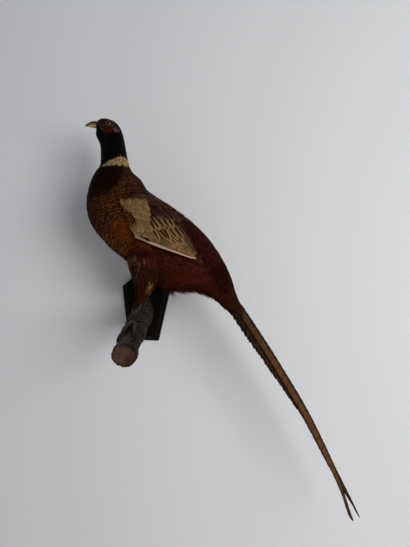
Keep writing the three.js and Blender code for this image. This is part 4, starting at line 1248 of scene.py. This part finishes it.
def wing_row(count, root_from, root_to, tip_from, tip_to, half, lift, look_from, look_to=None, jitter=0.5):
    """A row of wing feathers, evenly between its first and its last one. Places are x and z in mm."""
    t = np.linspace(0, 1, count)[:, None] if count > 1 else np.zeros((1, 1))
    return {
        "root": np.array(root_from) * (1 - t) + np.array(root_to) * t + rng.normal(0, jitter, (count, 2)),
        "tip": np.array(tip_from) * (1 - t) + np.array(tip_to) * t + rng.normal(0, jitter, (count, 2)),
        "half": np.full(count, half / 1000) * rng.uniform(0.94, 1.06, count),
        "lift": (lift + 0.1 * np.arange(count)) / 1000,
        "look": look_from * (1 - t) + (look_from if look_to is None else look_to) * t,
    }


def wing_feathers(surface, sign, rows, shape, rise=0.0006, strips=False):
    """Batches of one wing's feathers. Rows that have strips get a place of their own on the baking map."""
    batches, total = [], sum(len(row["root"]) for row in rows)
    placed = 0
    for row in rows:
        start, way = row["root"] / 1000, (row["tip"] - row["root"]) / 1000
        many = len(start)
        column = (start[:, 1] - WING_Z[0]) / WING_STEP
        at_row = (start[:, 0] - WING_X[0]) / WING_STEP
        turn = np.arctan2(-sign * way[:, 1], way[:, 0])
        length = np.linalg.norm(way, axis=1)
        place = patch = None
        if strips:
            place = np.stack([(placed + np.arange(many)) / total, np.zeros(many)], 1)
            patch = np.tile((0.96 / total, 1.0), (many, 1))
            placed += many
        batches.append(feathers(
            surface, at_row, column, shape, length, row["half"], turn, row["lift"] - rise, row["lift"] + rise,
            1.0, look=row["look"], place=place, patch=patch,
        ))
    return batches


SAND = look_of(paint(124, 98, 62), paint(144, 116, 78), 0.3, paint(98, 72, 44), 0.7, 0.6, 0.84)
SAND_PALE = look_of(paint(136, 110, 74), paint(168, 146, 108), 0.5, paint(92, 66, 38), 0.7, 0.5, 0.8)
SAND_DARK = look_of(paint(126, 96, 58), paint(150, 122, 84), 0.4, paint(74, 50, 28), 0.85, 0.7, 0.84)
DARK_HEART = look_of(paint(128, 96, 60), paint(150, 122, 90), 0.2, paint(28, 8, 4), 1.0, 0.8, 0.84)
DARK_UPPER = look_of(paint(62, 36, 24), paint(132, 100, 76), 0.5, paint(26, 8, 4), 1.0, 0.95, 0.86)
TERTIAL = look_of(paint(36, 13, 7), paint(166, 130, 100), 0.9, paint(24, 7, 4), 0.8, 5, 0.8)
LONG_TERTIAL = look_of(paint(50, 27, 16), paint(172, 142, 114), 0.8, paint(30, 14, 8), 0.5, 9, 0.62)
TERTIAL_LOW = look_of(paint(116, 86, 52), paint(180, 146, 114), 0.95, paint(48, 24, 13), 0.8, 5, 0.76)
SECONDARY = look_of(paint(132, 98, 58), paint(148, 114, 72), 0.6, paint(70, 40, 24), 0.6, 7, 0.8)
# The primaries' dark fringe along their edges is painted shadow of the feather lapping over each.
PRIMARY = look_of(paint(120, 92, 62), paint(60, 38, 26), 0.8, paint(70, 44, 30), 0.5, 9, 0.8)
PALE_EDGE = look_of(paint(196, 164, 134), paint(206, 178, 150), 0.6, paint(170, 134, 104), 0.3, 9, 0.5)
flight_finish = quill_finish("barred_flight_feathers", 0.6, 0.25, 0.9, 90)
covert_finish = plumage("wing_coverts", 0.65, 14, 0.2, 0.3, 0.3, 2.0, Specular_IOR_Level=0.06)
SCAPULAR_ROWS = [  # count, first and last root as x and z in mm, length and half width in mm
    (4, (-6, 214), (18, 219), 20, 5.4), (5, (5, 208), (31, 214), 20, 5.6), (5, (20, 203), (48, 208), 20, 5.4),
    (5, (36, 197), (62, 200), 20, 5.2), (4, (52, 189), (76, 190), 19, 5.0),
    (4, (67, 180), (90, 179), 18, 4.6),
]


def along_quill(t, swell_end, taper_from):
    """Half the width of a flight feather, as a share of its widest, some way along it."""
    taper = max(0.05, 1 - max(0.0, (t - taper_from) / (1 - taper_from)) ** 2) ** 0.5
    return min(1.0, 0.6 + t / swell_end * 0.4) * taper


FLIGHT = quill(
    26, 6, lambda t: -along_quill(t, 0.4, 0.82), lambda t: along_quill(t, 0.4, 0.74), 0.06, 0.07, 5, 4
)
COVERT = vane((0, 0.2, 0.4, 0.58, 0.74, 0.86, 0.95, 1.0), 6, swell=0.5, waist=0.5, camber=0.08)
for side, sign in SIDES.items():
    surface = wing_surface(sign)
    primaries = [
        wing_row(1, (4, 138.6), (4, 138.6), (109, 98), (109, 98), 2.6, -0.8, PALE_EDGE, jitter=0),
        wing_row(5, (18, 140.4), (12, 152), (108.4, 101.2), (104.2, 107.5), 4.2, -0.7, PRIMARY, jitter=0.2),
    ]
    secondaries = [
        wing_row(6, (44.8, 135), (65.6, 151), (100, 106), (98.5, 116), 5.0, -0.2, SECONDARY, jitter=0.3),
        wing_row(4, (63, 146), (44, 177), (97, 111), (73, 149), 4.6, 0.3, TERTIAL_LOW, TERTIAL, 0.3),
        wing_row(5, (77, 146), (49, 180), (104.6, 103.5), (79, 149), 3.6, 0.7, TERTIAL_LOW, TERTIAL, 0.2),
        wing_row(2, (71, 158), (64, 167), (103.4, 101.5), (93, 123), 2.2, 1.3, LONG_TERTIAL, None, 0),
    ]
    coverts = [
        wing_row(5, (40, 140), (66, 147), (66, 117), (88, 124), 4.6, 0.5, SAND_DARK, DARK_HEART, 0.8),
        wing_row(5, (32, 155), (66, 160), (48, 130), (84, 128), 5.4, 1.0, DARK_HEART, None, 1.0),
        wing_row(6, (16, 171), (54, 174), (33, 145), (68, 148), 5.4, 1.4, DARK_HEART, None, 1.0),
        wing_row(7, (23, 197), (56, 183), (37, 162), (70, 155), 4.4, 1.8, DARK_UPPER, None, 1.0),
        wing_row(7, (0, 153), (24, 156), (10, 139.5), (42, 133), 3.4, 1.0, SAND_PALE, SAND_DARK, 0.8),
        wing_row(7, (-2, 161), (20, 166), (4, 145), (32, 146), 3.4, 1.5, SAND_PALE, SAND_DARK, 0.8),
        wing_row(5, (9, 172), (22, 171), (16, 154), (29, 152), 3.8, 1.8, SAND),
        wing_row(6, (-1, 187), (20, 179), (10, 166), (29, 160), 4.2, 2.0, SAND),
        wing_row(7, (-11, 194), (19, 188), (-1, 179), (28, 168), 4.0, 2.2, SAND),
        wing_row(7, (-16, 198), (18, 195), (-9, 184), (26, 177), 3.8, 2.3, SAND),
        wing_row(7, (-18, 202), (14, 201), (-14, 190), (21, 187), 3.6, 2.3, SAND),
    ]
    for part, rows_of_quills in (("primaries", primaries), ("secondaries", secondaries)):
        node = f"wing_{side}_{part}"
        batches = wing_feathers(surface, sign, rows_of_quills, FLIGHT, 0.0004, strips=True)
        stand(f"quills_{node}", joined(node, batches), flight_finish, "flight_feathers", node)
    node = f"wing_{side}_coverts"
    small_coat = joined(node, wing_feathers(surface, sign, coverts, COVERT))
    stand(f"coat_{node}", small_coat, covert_finish, "wing_feathers", node)
    batches = []
    for count, first, last, length, half in SCAPULAR_ROWS:
        t = np.linspace(0, 1, count)[:, None]
        places = (np.array(first) * (1 - t) + np.array(last) * t + rng.normal(0, 0.8, (count, 2))) / 1000
        row, column = lattice_place(winged, side, places)
        batches.append(feathers(
            winged, row, column, COVERT, np.full(count, length / 1000) * rng.uniform(0.92, 1.08, count),
            np.full(count, half / 1000), rng.normal(-sign * 0.1, 0.06, count), np.full(count, 0.0002),
            np.full(count, 0.0014), look=np.tile(LOOKS["scapulars"], (count, 1)),
        ))
    scapulars = joined(f"scapulars_{side}", batches)
    stand(f"scapulars_{side}", scapulars, covert_finish, "wing_feathers", "trunk", node)

# ---------- bill ----------
# Horn over a bony core: a stout upper half with a ridge, a hooked tip and a nostril under a soft scale, and a
# shorter lower half. Grey-brown above with pale cutting edges, and ivory below.
BILL_UPPER = np.array([  # x, top, low and half width in mm, from the face to the tip
    (-75.5, 357.2, 351, 6.6), (-80.5, 357.5, 350.6, 6), (-86, 356.5, 350.2, 5), (-91, 354.3, 349.6, 3.8),
    (-94.8, 352.2, 348.8, 2.3), (-97.0, 350.2, 348.1, 0.7),
]) / 1000
BILL_LOWER = np.array([
    (-75.8, 350.6, 344.8, 5.8), (-80.5, 350.2, 345.2, 5.2), (-85.5, 349.8, 346.1, 4.2),
    (-89.5, 349.3, 347.1, 2.9), (-92, 348.8, 347.7, 1.2),
]) / 1000
BILL_ROWS, BILL_SIDES = 34, 36
CUTTING_EDGE = 0.3502  # the height at which the halves meet
NOSTRIL = (-0.0803, 0.3537)
NOSTRIL_HALF = (0.0024, 0.0008)  # half its length and height
SCALE_HALF = (0.0036, 0.0018)  # the same of the soft scale over it


def horn_half(sections, above):
    """One half of the bill as rings along it, round outside and slightly hollow where the halves meet."""
    lines = between(sections, np.linspace(0, len(sections) - 1.0001, BILL_ROWS))
    work = bmesh.new()
    rings = []
    for i, (x, top, low, half) in enumerate(lines):
        ring = []
        for k in range(BILL_SIDES):
            turn = 2 * math.pi * k / BILL_SIDES
            y, round_part = half * math.cos(turn), math.sin(turn)
            tall = top - low
            if above:
                z = low + tall * max(0.0, round_part) ** 0.8 + 0.16 * tall * max(0.0, -round_part)
            else:
                z = top - tall * max(0.0, -round_part) ** 0.8 - 0.16 * tall * max(0.0, round_part)
            on, up = x - NOSTRIL[0], z - NOSTRIL[1]
            d = math.hypot(on / NOSTRIL_HALF[0], (up - 0.25 * on) / NOSTRIL_HALF[1])
            scale_d = math.hypot((on + 0.0002) / SCALE_HALF[0], (up - 0.0011) / SCALE_HALF[1])
            out = 0.00045 * math.exp(-(scale_d**2)) - 0.0011 * math.exp(-(d**2)) if above else 0.0
            out -= 0.00012 * abs(math.sin(i * 0.9)) * abs(math.cos(turn))
            ring.append(work.verts.new((x, MIDLINE + y + math.copysign(out, y) * abs(math.cos(turn)), z)))
        rings.append(ring)
    for a, b in zip(rings, rings[1:]):
        for k in range(BILL_SIDES):
            j = (k + 1) % BILL_SIDES
            work.faces.new((a[k], a[j], b[j], b[k]))
    work.faces.new(rings[0])
    work.faces.new(rings[-1])
    bmesh.ops.recalc_face_normals(work, faces=work.faces)
    return work


horn, tree, shader, place = finish("bill_horn", 0.42, Specular_IOR_Level=0.2)
at = add(tree, "SeparateXYZ", {0: place})
above_edge = minus(tree, at.outputs["Z"], CUTTING_EDGE)
cloud = grains(tree, place, 300, 4, 0.65)
fibre = grains(tree, mapped(tree, place, (0.25, 1, 1.4)), 900, 3, 0.6)
level = plus(tree, above_edge, times(tree, minus(tree, cloud, 0.5), 0.0024))
# Up the side of the bill: ivory below, a thin dark line where the halves meet that is painted shade of the
# gap between them, a pale cutting edge, then the grey-brown top.
tint = ramp(tree, plus(tree, times(tree, level, 90.0), 0.5), [
    (0.0, paint(150, 108, 70)), (0.24, paint(214, 174, 128)), (0.44, paint(200, 160, 114)),
    (0.5, paint(70, 50, 36)), (0.55, paint(140, 112, 80)), (0.61, paint(176, 148, 112)),
    (0.68, paint(66, 56, 42)), (0.77, paint(22, 20, 16)),
])
tip = eased(tree, plus(tree, at.outputs["X"], times(tree, cloud, 0.004)), -0.0865, -0.0935)
tint = mixed(tree, times(tree, tip, 0.9), tint, paint(34, 30, 26))
base = eased(tree, minus(tree, at.outputs["X"], times(tree, cloud, 0.004)), -0.0805, -0.077)
tint = mixed(tree, times(tree, base, 0.35), tint, paint(96, 72, 42))
# The nostril is painted nearly black, as painted shade for its opening.
hole = add(tree, "VectorMath", {0: place, 1: (NOSTRIL[0], MIDLINE, NOSTRIL[1])}, operation="SUBTRACT")
flat_hole = add(tree, "VectorMath", {0: mapped(tree, hole.outputs[0], (420, 0, 1150))}, operation="LENGTH")
tint = mixed(tree, eased(tree, flat_hole.outputs["Value"], 1.0, 0.6), tint, paint(22, 14, 10))
tint = mixed(tree, eased(tree, fibre, 0.35, 0.7, 0.16, 0.0), tint, paint(64, 50, 36))
wire(tree, shader, tint, eased(tree, cloud, 0.3, 0.7, 0.32, 0.55), fibre, 0.2, 0.0002)
stand("bill_top", horn_half(BILL_UPPER, True), horn, "horn", "bill_upper")
stand("bill_below", horn_half(BILL_LOWER, False), horn, "horn", "bill_lower")

# ---------- eyes ----------
# Taxidermist's glass eyes, set in the clay of the sockets: a clear bulging front over a painted ochre iris
# and a round black pupil, with a dark ring where the glass meets the lids.
EYE_OUT, EYE_RADIUS = 0.0097, 0.0054
BULGE_RADIUS = 0.0034  # of the clear front


def glass_eye(sign):
    """A ball with a bulge at the front, looking out to its own side."""
    work = bmesh.new()
    bmesh.ops.create_uvsphere(work, u_segments=40, v_segments=28, radius=EYE_RADIUS)
    bmesh.ops.rotate(work, verts=work.verts, matrix=Matrix.Rotation(math.radians(-90 * sign), 3, "X"))
    for vert in work.verts:
        from_centre = math.hypot(vert.co.x, vert.co.z)
        if vert.co.y * sign > 0:
            vert.co.y += sign * 0.0005 * max(0.0, 1 - (from_centre / BULGE_RADIUS) ** 2)
    bmesh.ops.translate(work, verts=work.verts, vec=(EYE_X, MIDLINE + sign * EYE_OUT, EYE_Z))
    bmesh.ops.recalc_face_normals(work, faces=work.faces)
    return work


glass, tree, shader, place = finish(
    "glass_eye", 0.2, Coat_Weight=0.05, Coat_Roughness=0.05, Specular_IOR_Level=0.12
)
off = add(tree, "VectorMath", {0: place, 1: (EYE_X, 0, EYE_Z)}, operation="SUBTRACT")
flat_off = mapped(tree, off.outputs[0], (1000, 0, 1000))
spoke = add(tree, "VectorMath", {0: flat_off}, operation="LENGTH").outputs["Value"]
flecks = grains(tree, place, 2400, 3, 0.7)
unevenness = times(tree, minus(tree, flecks, 0.5), 0.05)
from_middle = plus(tree, calc(tree, "DIVIDE", spoke, 5.0), unevenness)
iris = ramp(tree, from_middle, [
    (0.0, paint(3, 3, 3)), (0.34, paint(4, 3, 2)), (0.38, paint(74, 50, 28)), (0.52, paint(118, 90, 58)),
    (0.66, paint(92, 66, 40)), (0.74, paint(30, 18, 10)), (1.0, paint(14, 9, 7)),
])
tree.links.new(iris, shader.inputs["Base Color"])
for side, sign in SIDES.items():
    stand(f"glass_eye_{side}", glass_eye(sign), glass, "eye", f"eye_{side}")

# ---------- face ----------
# The bare skin round each eye, dried to a dull brownish red: a pale pair of lids, a fold under them, and
# small warts out to the feathered edge. Painted by the taxidermist, and darker between the warts.
FACE_OUTLINE = np.array([  # x and z in mm
    (-70, 350.5), (-61, 355), (-51, 356), (-43.5, 351.5), (-41, 343), (-44.6, 333.5), (-54, 330),
    (-63.5, 335.5),
])
FACE_TURNS, FACE_RINGS = 120, 36
LID_START = 3.75  # mm from the middle of the eye


def closed_curve(corners_round, count):
    """A smooth closed line through some corners."""
    wrapped = np.concatenate([corners_round[-1:], corners_round, corners_round[:3]])
    return between(wrapped, np.linspace(1, len(corners_round) + 0.9999, count))


line = closed_curve(FACE_OUTLINE, 400)
line_turn = np.arctan2(line[:, 1] - EYE_Z * 1000, line[:, 0] - EYE_X * 1000)
line_reach = np.hypot(line[:, 0] - EYE_X * 1000, line[:, 1] - EYE_Z * 1000)
order = np.argsort(line_turn)
turns = np.linspace(-np.pi, np.pi, FACE_TURNS, endpoint=False)
edge_reach = np.interp(turns, line_turn[order], line_reach[order], period=2 * np.pi) + 0.7
u = np.linspace(0, 1, FACE_RINGS)[:, None] ** 1.1
reach = LID_START + (edge_reach[None] - LID_START) * u
face_x, face_z = EYE_X * 1000 + reach * np.cos(turns), EYE_Z * 1000 + reach * np.sin(turns)
warts = np.stack([rng.uniform(-71, -40, 900), rng.uniform(331, 357, 900)], 1)
kept = []
for wart in warts:
    if all(np.hypot(*(wart - other)) > 0.85 for other in kept):
        kept.append(wart)
warts = np.array(kept)
near_wart = np.sqrt(((face_x[..., None] - warts[:, 0]) ** 2 + (face_z[..., None] - warts[:, 1]) ** 2).min(-1))
face_colour = np.zeros((FACE_RINGS, FACE_TURNS, 3))
face_colour[:] = paint(26, 8, 6)[:3]


def tinted(colour, mask):
    """Paints the face under a mask."""
    face_colour[:] += (np.array(colour[:3]) - face_colour) * np.clip(mask, 0, 1)[..., None]


blotch = ripple(np.stack([face_x.ravel(), face_z.ravel() * 0, face_z.ravel()], 1), 1.7).reshape(face_x.shape)
fleck = ripple(np.stack([face_x.ravel(), face_z.ravel() * 0, face_z.ravel()], 1), 0.75).reshape(face_x.shape)
tinted(paint(26, 14, 13), share(face_x + 2 * blotch, -57, -63))
tinted(paint(74, 34, 36), share(fleck, 0.1, 0.5) * share(face_x + 0.4 * (face_z - 350), -60, -64) * 0.5)
dried = share(blotch + 0.6 * fleck, 0.35, 0.8) * share(face_x, -53, -60) * share(face_z, 352, 349)
tinted(paint(112, 84, 56), dried * 0.75)
from_red = np.hypot((face_x + 50.6) / 9.0, (face_z - 334.8) / 5.6)
tinted(paint(64, 11, 10), share(from_red + 0.12 * blotch, 1.1, 0.7))
tinted(paint(42, 8, 8), share(face_z + 0.6 * blotch, 332.2, 330.0))
from_pale = np.hypot((face_x + 43) / 3.4, (face_z - 346) / 5)
tinted(paint(92, 74, 58), share(from_pale + 0.2 * fleck, 1.1, 0.7) * 0.8)
under_eye = share(np.sin(turns)[None], 0.1, -0.5)
tinted(paint(20, 10, 9), share(np.abs(reach - 6.9 - 0.3 * fleck), 1.0, 0.3) * under_eye * 0.9)
tinted(paint(112, 80, 58), share(np.abs(reach - 8.4), 0.8, 0.2) * under_eye * share(blotch, -0.5, 0.2) * 0.6)
tinted(paint(92, 68, 46), share(reach, 6.1, 5.3) * (1 - 0.6 * share(fleck, -0.1, 0.4)))
tinted(paint(24, 14, 11), share(reach, 4.25, 3.9))
face_colour *= 1 - 0.45 * (share(near_wart, 0.34, 0.5) * share(reach, 6.4, 7.6))[..., None]
fleshy, tree, shader, place = finish("dried_face_skin", 0.6, Specular_IOR_Level=0.06)
ground = add(tree, "Attribute", attribute_name="ground")
pores = grains(tree, place, 1500, 3, 0.7)
stain_cloud = grains(tree, place, 420, 4, 0.6)
tint = mixed(tree, eased(tree, stain_cloud, 0.5, 0.7, 0, 0.6), ground.outputs["Color"], paint(18, 9, 8))
tint = mixed(tree, eased(tree, pores, 0.56, 0.74, 0, 0.22), tint, paint(128, 96, 76))
wire(tree, shader, tint, None, pores, 0.35, 0.0002)
for side, sign in SIDES.items():
    start = MIDLINE + sign * 0.05
    out = np.zeros(reach.shape)
    for index in np.ndindex(reach.shape):
        origin = Vector((face_x[index] / 1000, start, face_z[index] / 1000))
        hit = trunk_tree.ray_cast(origin, Vector((0, -sign, 0)), 0.05)[0]
        out[index] = (hit.y - MIDLINE) * sign * 1000 if hit else 8.0
    for _ in range(3):
        out = (np.roll(out, 1, 1) + 2 * out + np.roll(out, -1, 1)) / 4
    ball = EYE_OUT * 1000 + np.sqrt(np.maximum(0.0, (EYE_RADIUS * 1000) ** 2 - np.minimum(reach, 5.0) ** 2))
    socket = share(reach, LID_START, 7.4)
    height = ball * (1 - socket) + out * socket
    height += 0.75 * np.exp(-(((reach - 4.75) / 0.75) ** 2)) - 0.35 * np.exp(-(((reach - 6.1) / 0.5) ** 2))
    lid_folds = 0.14 * np.sin(turns * 21 + 3 * blotch) * np.exp(-(((reach - 5.2) / 0.9) ** 2))
    height += 0.3 * np.exp(-(((reach - 6.95) / 0.5) ** 2)) + lid_folds
    height += 0.32 * share(near_wart, 0.5, 0.1) * share(reach, 6.6, 8.2) + 0.1 * blotch * share(reach, 6, 8)
    height += 0.35 - 1.3 * share(u, 0.86, 1.0)
    points = np.stack([face_x / 1000, MIDLINE + sign * height / 1000, face_z / 1000], -1)
    work = bmesh.new()
    grid = [[work.verts.new(p) for p in ring] for ring in points]
    for a, b in zip(grid, grid[1:]):
        for k in range(FACE_TURNS):
            j = (k + 1) % FACE_TURNS
            work.faces.new((a[k], a[j], b[j], b[k]) if sign > 0 else (a[k], b[k], b[j], a[j]))
    work.normal_update()
    if sum(f.normal.y for f in work.faces) * sign < 0:
        bmesh.ops.reverse_faces(work, faces=work.faces)
    face_mesh = bpy.data.meshes.new(f"face_{side}")
    work.to_mesh(face_mesh)
    work.free()
    rgba = np.ones((FACE_RINGS * FACE_TURNS, 4), np.float32)
    rgba[:, :3] = face_colour.reshape(-1, 3)
    face_mesh.attributes.new("ground", "FLOAT_COLOR", "POINT").data.foreach_set("color", rgba.ravel())
    stand(f"face_{side}", face_mesh, fleshy, "wattle", f"wattle_{side}")

# ---------- ear tufts ----------
# A few long narrow feathers behind each eye that a cock raises into a pair of small horns, here lying back
# over the ear. They grow from the skin and are the dull brown of the brow.
EAR_ROOT, EAR_TIP = (-0.047, 0.3535), (-0.0375, 0.3440)
for side, sign in SIDES.items():
    count = 22
    spots = np.array(EAR_ROOT) + rng.normal(0, 1, (count, 2)) * (0.0016, 0.0011)
    row, column = lattice_place(winged, side, spots)
    ends = lattice_place(winged, side, spots + np.array(EAR_TIP) - np.array(EAR_ROOT))
    starts_at, ends_at = winged.at(row, column)[0], winged.at(*ends)[0]
    turn = aimed(winged, row, column, ends_at - starts_at) + rng.normal(0, 0.12, count)
    length, half = rng.uniform(0.009, 0.0135, count), rng.uniform(0.0005, 0.0009, count)
    batch = feathers(
        winged, row, column, HACKLE, length, half, turn, np.full(count, 0.0004),
        rng.uniform(0.0012, 0.0026, count), look=np.tile(LOOKS["brow"] * 0.8, (count, 1)),
    )
    ear_tuft = joined(f"ear_{side}", [batch])
    stand(f"ear_feathers_{side}", ear_tuft, PLUMAGES["crown"], "neck_feathers", f"ear_tuft_{side}")

# ---------- feet ----------
# Dried legs on wires that run into the branch. Overlapping plates down the front of each shank and along the
# top of each toe, small scales behind and below, all dull grey-brown, with painted shade in the grooves and a
# painted highlight on the ridges, and a pale painted highlight down the front of each shank.
TOES = ("middle", "inner", "outer", "hind")
FOOT_GRAIN = 0.0006
SHANK_PLATE, TOE_PLATE = 0.0029, 0.0022
HIGHLIGHT_LINE = [(29.3, 43.4), (23.2, 37.3), (17.2, 29.8), (12.6, 25.2), (8.8, 17.6), (6.5, 11.5)]  # a pale painted highlight down the front of the shank, as x and z in mm
HIGHLIGHT_SHIFT = {"left": (0, 0), "right": (1.4, 12.5)}


def plated(side):
    """One foot as a closed mesh with its plates worked in, how deep each point lies in a groove, and where a
    painted highlight runs down the shank.
    """
    nodes = [f"tarsus_{side}"] + [f"toe_{side}_{toe}" for toe in TOES]
    mesh = cast(nodes, FOOT_GRAIN, 6, 0.0001)
    points, normals = corners(mesh)
    best, height, painted_highlight = np.full(len(points), 9.0), np.zeros(len(points)), np.zeros(len(points))
    for node in nodes:
        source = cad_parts[node].data
        own = np.array([v.co[:] for v in source.vertices])
        middle = own.mean(0)
        axis = np.linalg.svd(own - middle, full_matrices=False)[2][0]
        shank = node.startswith("tarsus")
        tree = BVHTree.FromPolygons(own.tolist(), [p.vertices[:] for p in source.polygons])
        far = np.array([tree.find_nearest(Vector(p))[3] for p in points])
        along = (points - middle) @ axis
        front = -normals[:, 0] if shank else normals[:, 2]
        plate = SHANK_PLATE if shank else TOE_PLATE
        split = 0.5 * (normals[:, 1] > 0) if shank else 0.0
        step = (along / plate + split) % 1.0
        edge = np.abs(step - 0.5) * 2
        groove = share(edge, 0.72, 0.98)
        scaled = share(front, -0.1, 0.35)
        fine = np.array([noise.cell(Vector(p) * 900) for p in points])
        own_height = scaled * (0.00022 - 0.00042 * groove) + (1 - scaled) * 0.00012 * fine
        nearer = far < best
        line = np.array(between(HIGHLIGHT_LINE, np.linspace(0, len(HIGHLIGHT_LINE) - 1.0001, 60))) + HIGHLIGHT_SHIFT[side]
        off_line = np.hypot(*(points[:, None, k] - line[None, :, k // 2] / 1000 for k in (0, 2))).min(1)
        # the pale painted highlight along the line, on the side of the shank that faces away from the wall
        raised_slab_and_highlight = share(off_line, 0.0016, 0.0008) * share(normals[:, 1], 0.3, 0.0) * shank
        best, height = np.where(nearer, far, best), np.where(nearer, own_height, height)
        painted_highlight = np.where(nearer, raised_slab_and_highlight, painted_highlight)
    knuckles = ripple(points, 0.004) * 0.00012
    points += normals * (height + knuckles)[:, None]
    mesh.vertices.foreach_set("co", points.ravel())
    mesh.attributes.new("plate", "FLOAT", "POINT").data.foreach_set(
        "value", (height / 0.00022).astype(np.float32)
    )
    mesh.attributes.new("painted_highlight", "FLOAT", "POINT").data.foreach_set("value", painted_highlight.astype(np.float32))
    return mesh


scaled_skin, tree, shader, place = finish("scaled_leg_skin", 0.6, Specular_IOR_Level=0.12)
plate = add(tree, "Attribute", attribute_name="plate").outputs["Fac"]
cells = add(tree, "TexVoronoi", {"Vector": place, "Scale": 1100}, feature="DISTANCE_TO_EDGE")
dirt = grains(tree, place, 300, 4, 0.6)
worn = grains(tree, place, 1200, 2, 0.6)
# Darker in the grooves between the plates, as painted shade, and paler on their ridges, as a painted
# highlight.
tint = ramp(tree, plus(tree, plate, times(tree, minus(tree, dirt, 0.5), 1.2)), [
    (0.0, paint(15, 11, 7)), (0.35, paint(32, 26, 17)), (0.75, paint(46, 37, 25)), (1.0, paint(78, 66, 50)),
])
tint = mixed(tree, eased(tree, dirt, 0.55, 0.72, 0, 0.5), tint, paint(34, 28, 19))
tint = mixed(tree, eased(tree, cells.outputs["Distance"], 0.12, 0.0, 0, 0.35), tint, paint(16, 12, 9))
painted_highlight = add(tree, "Attribute", attribute_name="painted_highlight").outputs["Fac"]
# the pale painted highlight down the front of each shank
tint = mixed(tree, times(tree, painted_highlight, 0.85), tint, paint(172, 154, 134))
wire(tree, shader, tint, eased(tree, worn, 0.3, 0.7, 0.5, 0.7), cells.outputs["Distance"], 0.3, 0.0003)
for side in SIDES:
    toes = [f"toe_{side}_{toe}" for toe in TOES]
    stand(f"foot_{side}", plated(side), scaled_skin, "leg_scale", f"tarsus_{side}", *toes)

# ---------- claws and spurs ----------
# Horn sheaths over bone: a curved blunt claw on each toe, and a short spur behind each shank. Dark brown
# horn, nearly black at the tips, with fine lines along it.
claw_horn, tree, shader, place = finish("claw_horn", 0.5, Specular_IOR_Level=0.12)
lines_along = grains(tree, mapped(tree, place, (1, 1, 0.3)), 1400, 3, 0.6)
dull = grains(tree, place, 420, 3, 0.6)
tint = ramp(tree, lines_along, [
    (0.3, paint(17, 13, 11)), (0.5, paint(36, 28, 22)), (0.75, paint(70, 56, 44)),
])
tint = mixed(tree, eased(tree, dull, 0.5, 0.75, 0, 0.4), tint, paint(84, 72, 58))
wire(tree, shader, tint, eased(tree, dull, 0.3, 0.7, 0.32, 0.55), lines_along, 0.25, 0.0002)
for side in SIDES:
    claws = [f"claw_{side}_{toe}" for toe in TOES]
    stand(f"claws_{side}", cast(claws, 0.00042, 2, 0.00015), claw_horn, "claw", *claws)
    stand(f"spur_horn_{side}", cast([f"spur_{side}"], 0.00042, 2, 0.00015), claw_horn, "claw", f"spur_{side}")

# ---------- stage ----------
# A plain pale floor well below the mount, and the pale wall that it hangs on, seen only from the front. Three
# soft square lamps: a strong one at the front right, a weak one at the front left, and one behind the wall
# for the bird's back. The wall casts no shadow, so its light comes through.
FLOOR_LEVEL = -0.75
WALL_PLANE = 0.0002  # a hair behind the back of the board
WALL_TOP = 2.4
MIDDLE = (0.1, -0.12, 0.0)  # where the lamps are aimed


def sheet(name, points, material):
    """A flat piece of the stage, through four points."""
    mesh = bpy.data.meshes.new(name)
    mesh.from_pydata(points, [], [(0, 1, 2, 3)])
    mesh.materials.append(material)
    piece = bpy.data.objects.new(name, mesh)
    bpy.context.scene.collection.objects.link(piece)


pale, tree, shader, place = finish("pale_floor", 0.8)
shader.inputs["Base Color"].default_value = paint(214, 212, 208)
sheet("floor", [(x, y, FLOOR_LEVEL) for x, y in ((-9, -9), (9, -9), (9, 9), (-9, 9))], pale)
wall, tree, shader, place = finish("pale_wall", 0.75)
shader.inputs["Base Color"].default_value = paint(234, 236, 240)
from_behind = add(tree, "NewGeometry").outputs["Backfacing"]
passed = calc(tree, "MAXIMUM", from_behind, add(tree, "LightPath").outputs["Is Shadow Ray"])
seen = add(tree, "MixShader", {0: passed, 1: shader.outputs[0], 2: add(tree, "BsdfTransparent").outputs[0]})
tree.links.new(seen.outputs[0], tree.nodes["Material Output"].inputs["Surface"])
corners_of_wall = ((-3, FLOOR_LEVEL), (3, FLOOR_LEVEL), (3, WALL_TOP), (-3, WALL_TOP))
sheet("wall", [(x, WALL_PLANE, z) for x, z in corners_of_wall], wall)


def lamp(name, place, size, power, colour):
    """A soft square studio light."""
    light = bpy.data.lights.new(name, "AREA")
    light.shape, light.size, light.energy, light.color = "SQUARE", size, power, colour
    holder = bpy.data.objects.new(name, light)
    holder.location = place
    holder.rotation_euler = (Vector(MIDDLE) - Vector(place)).to_track_quat("-Z", "Y").to_euler()
    bpy.context.scene.collection.objects.link(holder)


lamp("key_light", (1.45, -1.85, 0.29), 1.25, 30.5, (1.0, 0.985, 0.96))
lamp("fill_light", (-1.05, -1.7, 0.75), 1.6, 1.0, (0.95, 0.97, 1.0))
lamp("back_light", (-0.6, 2.1, 1.2), 1.2, 26, (1.0, 0.985, 0.96))
world = bpy.data.worlds.new("studio")
world.use_nodes = True
world.node_tree.nodes["Background"].inputs["Color"].default_value = (0.9, 0.94, 1.0, 1)
world.node_tree.nodes["Background"].inputs["Strength"].default_value = 0.165
bpy.context.scene.world = world
bpy.context.scene.view_settings.view_transform = "Standard"
